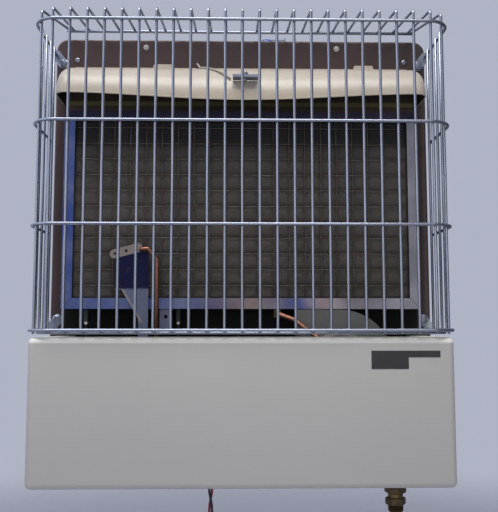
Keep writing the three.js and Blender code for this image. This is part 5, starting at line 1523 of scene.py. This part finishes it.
class HEATER_OT_housing(bpy.types.Operator):
    """Make the drawn housing cover with its rounded edges, mouth and holes, and the bare black plate"""

    bl_idname = "heater.housing"
    bl_label = "Housing"

    def execute(self, context):
        s = context.scene.heater_case
        cover = self.cover(s)
        self.openings(cover)
        smooth(cover, 35)
        self.data_plate()
        return {"FINISHED"}

    def cover(self, s):
        """The drawn shell, open at its back."""
        data = bpy.data.meshes.new("enamelled_housing")
        with edited(data) as shaped:
            bmesh.ops.create_cube(shaped, size=1)
            low, high = HOUSING_LOW, HOUSING_HIGH
            for corner in shaped.verts:
                corner.co = Vector([low[i] if corner.co[i] < 0 else high[i] for i in range(3)])
            back = [face for face in shaped.faces if face.normal.y > 0.5]
            edges = [edge for edge in shaped.edges if any(v.co.y < high.y - mm(1) for v in edge.verts)]
            bmesh.ops.delete(shaped, geom=back, context="FACES_ONLY")
            bmesh.ops.bevel(shaped, geom=edges, offset=s.housing_edge, segments=8, profile=0.5,
                            affect="EDGES", clamp_overlap=False)
        cover = bpy.data.objects.new("enamelled_housing", data)
        bpy.context.scene.collection.objects.link(cover)
        smooth(cover, 35)
        thicken(cover, s.sheet, even=True)
        return place(cover, material_for("grey_paint"), "grey_paint", instead_of=("housing_cover",))

    def openings(self, cover):
        side, front, r = HOUSING_HIGH.x - mm(30), HOUSING_LOW.y + mm(26), mm(6)
        loop = [Vector((x, mm(10), 0)) for x in (side, -side)]
        for x, start in ((-side + r, 180), (side - r, 270)):
            for i in range(11):
                a = math.radians(start + 9 * i)
                loop.append(Vector((x + r * math.cos(a), front + r + r * math.sin(a), 0)))
        mouth = Plan()
        mouth.skin([[p + Vector((0, 0, HOUSING_HIGH.z + z)) for p in loop] for z in (-mm(4), mm(4))])
        carve(cover, mouth)
        for node, width in (("inlet_fitting", 17), ("valve_button", 14), ("lead_grommet", 10.6)):
            hole = Plan()
            through = lifted(0.0, (width / 2, -3), (width / 2, 4))
            turned(hole, through, axis_of(node, HOUSING_LOW.z), sides=36)
            carve(cover, hole)

    def data_plate(self):
        """The thin black plate on the housing's face, left bare."""
        x0, step, x1 = mm(151.8, 195.8, 233.4)
        top, shelf, foot = (FOOT_RING - mm(drop) for drop in (23.9, 31.7, 45.3))
        ring = [(x0, foot), (step, foot), (step, shelf), (x1, shelf), (x1, top), (x0, top)]
        y = HOUSING_LOW.y
        plan = Plan()
        plan.skin([[Vector((x, depth, z)) for x, z in ring] for depth in (y - mm(0.35), y + mm(0.2))])
        plate = build(plan, "black_plate", special("black_plate", self.plate_finish), "black_rubber")
        bevel(plate, mm(0.12), 2)

    def plate_finish(self):
        return coating("bare_black_plate", (0.012, 0.011, 0.015), 0.34, second=(0.02, 0.018, 0.024),
                       drift=70.0, relief=0.008, wear=0.45, bare=(0.16, 0.16, 0.17), wear_width=0.3)[0]


# ---- gas train and burner --------------------------------------------------------------------------


class HEATER_OT_gas_train(bpy.types.Operator):
    """Make the inlet fitting, the push button, the copper tubes and the inner leads"""

    bl_idname = "heater.gas_train"
    bl_label = "Gas train"

    def execute(self, context):
        self.inlet_fitting()
        self.button()
        copper, bronze = material_for("copper"), "copper"
        tip = -56.95
        ends = self.terminal_y()
        sooted_red = special("sooted_red", lambda: coating(
            "sooted_red_insulation", (0.028, 0.008, 0.009), 0.6, drift=50.0, relief=0.01)[0])
        sleeve = material_for("black_insulation")
        runs = [
            ("thermocouple_sheath", "thermocouple_tube", copper, bronze, 2.5, 4,
             [(-134, tip, 104.5), (-121, tip, 105), (-110, -54.1, 91), (-110, -54.1, -42)]),
            ("copper_supply", "supply_tube", copper, bronze, 3.2, 4,
             [(103, -67.6, -30), (103, -75.6, -30), (96, -75.6, -10), (67, -62.3, 13), (48, -50, 20.5),
              (48, -29.4, 20.5)]),
            ("thermocouple_capillary", "thermocouple_lead", copper, bronze, 1.2, 5,
             [(-110, -54.1, -42.3), (-110, -54.1, -66), (-70, -58.1, -96), (20, -66.1, -136),
              (110, -62.1, -142), (151, -48, -152), (163, -48, -152), (163, -54, -152)]),
            ("inner_red_lead", "inner_lead_red", sooted_red, "red_insulation", 1.5, 8,
             [(-39.7, -81, -177.4), (-39.7, -81, -163.4), (-53.4, -69, -120), (-204, -69, -80),
              (-204, ends, -30), (-204, ends, 6.7)]),
            ("inner_black_lead", "inner_lead_black", sleeve, "black_insulation", 1.5, 8,
             [(-36.3, -81, -177.4), (-36.3, -81, -163.4), (-46.6, -87, -120), (-83, -87, -80),
              (-83, ends, -30), (-83, ends, 6.7)]),
        ]
        for name, node, material, slot, radius, bend, corners in runs:
            plan = Plan()
            tube(plan, rounded([at(*corner) for corner in corners], mm(bend), 7), mm(radius), 14)
            build(plan, name, material, slot, instead_of=(node,), degrees=60)
        return {"FINISHED"}

    def terminal_y(self):
        return axis_of("element_terminal_left").y / MM

    def inlet_fitting(self):
        """Flange nut, neck, hexagon and threaded end round the gas bore."""
        centre = axis_of("inlet_fitting", HOUSING_LOW.z - mm(0.3))
        plan = Plan()
        drops = [(4.5, -13), (7.6, -13), (8, -12.4), (8, 0), (10.6, 0), (10.6, 9.6), (13.1, 10.4),
                 (13.5, 11), (13.5, 15.4), (12.9, 16.2), (9.2, 17.8), (9.2, 22.4), (9.8, 23), (9.8, 30.6)]
        depth = 31.2
        while depth < 39:
            drops += [(9.5, depth), (8.7, depth + 0.5)]
            depth += 1.0
        drops += [(8.6, 39.6), (8.2, 40), (4.5, 40)]
        rows = [(mm(r), -mm(d)) for r, d in drops]
        loops = [[centre + Vector((r * math.cos(a), r * math.sin(a), h))
                  for a in (2 * math.pi * i / 40 for i in range(40))] for r, h in rows + rows[:1]]
        plan.skin(loops, cap_first=False, cap_last=False)
        nut = Plan()
        hexagon(nut, mm(22), -mm(31.4), -mm(22.6), centre)
        piece = build(plan, "threaded_inlet", material_for("brass"), "brass", instead_of=("inlet_fitting",),
                      degrees=30)
        carve(piece, nut, "UNION")
        smooth(piece, 30)

    def button(self):
        """The push button with its finger dish and stem."""
        low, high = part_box("valve_button")
        centre = axis_of("valve_button")
        shoulder = FOOT_RING - mm(182)
        stem = mm(2.5)
        dish = [(mm(r), low.z + mm(0.7) * (1 - (r / 4.2) ** 2)) for r in (0.1, 1.4, 2.8, 4.2)]
        rim = lifted(low.z, (4.9, 0.1), (5.6, 0.6), (6, 1.5))
        profile = dish + rim + lifted(shoulder, (6, -0.4), (5.6, 0)) + [(stem, shoulder), (stem, high.z)]
        plan = Plan()
        turned(plan, profile, centre, sides=36)
        build(plan, "push_button", material_for("red_nylon"), "red_nylon", BUTTON, ("valve_button",))


class HEATER_OT_plain_nodes(bpy.types.Operator):
    """Give the carried over pieces their finishes and soft edges"""

    bl_idname = "heater.plain_nodes"
    bl_label = "Carried over pieces"

    def execute(self, context):
        finishes = {part["node"]: part["material_slot"] for part in frame["record"]["subparts"]}
        rails = special("tinted_rail", lambda: spangled_plate(
            "rail_heat_tints_painted_shade", tuple(context.scene.heater_colours.plate), rail_heat_and_painted_shade, 0.42))
        bracket = special("blued_bracket", lambda: spangled_plate(
            "heat_tinted_bracket_painted_light", tuple(context.scene.heater_colours.plate), bracket_tints_and_painted_light, 0.45))
        edges = {"gas_regulator": 1.8, "valve_body": 0.8, "outlet_elbow": 0.8, "jet_holder": 0.5,
                 "chassis_shelf": 0.4, "hanger_rail": 0.4, "wall_hook": 0.4, "button_spring": 0.0,
                 "start_element": 0.0, "burner_tray": 0.25, "gas_diffuser": 0.2}
        for name, slot in finishes.items():
            node = bpy.data.objects.get(name)
            if node is None or node.hide_render:
                continue
            material = material_for(slot)
            if name.startswith("frame_rail"):
                material = rails
            elif name in ("thermocouple_bracket", "tube_tab"):
                material = bracket
            elif name.startswith("element_terminal"):
                material = special("terminal", terminal_ceramic)
            node.data.materials.clear()
            node.data.materials.append(material)
            smooth(node, 50 if edges.get(name, 1) == 0 else 38)
            width = edges.get(name, 0.3)
            if width:
                bevel(node, mm(width), 3, 40)
        return {"FINISHED"}


# ---- the add-on ------------------------------------------------------------------------------------

STEPS = (
    HEATER_OT_stage, HEATER_OT_leads, HEATER_OT_back_pan, HEATER_OT_fasteners, HEATER_OT_wire_guard,
    HEATER_OT_quilted_pad, HEATER_OT_pad_screen, HEATER_OT_deflector_hood, HEATER_OT_hood_sensor,
    HEATER_OT_housing, HEATER_OT_gas_train, HEATER_OT_plain_nodes,
)
SETTINGS = {
    "heater_guard": HeaterGuardSizes, "heater_pad": HeaterPadSizes, "heater_hood": HeaterHoodSizes,
    "heater_case": HeaterCaseSizes, "heater_colours": HeaterColours, "heater_stage": HeaterStageSizes,
}


class HEATER_PT_sidebar(bpy.types.Panel):
    """Lists the heater's steps and their sizes"""

    bl_idname = "HEATER_PT_sidebar"
    bl_label = "Wall Gas Heater"
    bl_space_type = "VIEW_3D"
    bl_region_type = "UI"
    bl_category = "Heater"

    def draw(self, context):
        for step in STEPS:
            self.layout.operator(step.bl_idname)
        for name, settings in SETTINGS.items():
            box = self.layout.box()
            box.label(text=name.replace("_", " ").capitalize())
            for field in settings.__annotations__:
                box.prop(getattr(context.scene, name), field)


def register():
    for settings in SETTINGS.values():
        bpy.utils.register_class(settings)
    for name, settings in SETTINGS.items():
        setattr(bpy.types.Scene, name, PointerProperty(type=settings))
    for step in (*STEPS, HEATER_PT_sidebar):
        bpy.utils.register_class(step)


def unregister():
    for step in (HEATER_PT_sidebar, *reversed(STEPS)):
        bpy.utils.unregister_class(step)
    for name in SETTINGS:
        delattr(bpy.types.Scene, name)
    for settings in SETTINGS.values():
        bpy.utils.unregister_class(settings)


def main():
    register()
    for step in STEPS:
        family, name = step.bl_idname.split(".")
        if "FINISHED" not in getattr(getattr(bpy.ops, family), name)():
            raise RuntimeError(f"{step.bl_label} was not made")


if __name__ == "__main__":
    main()
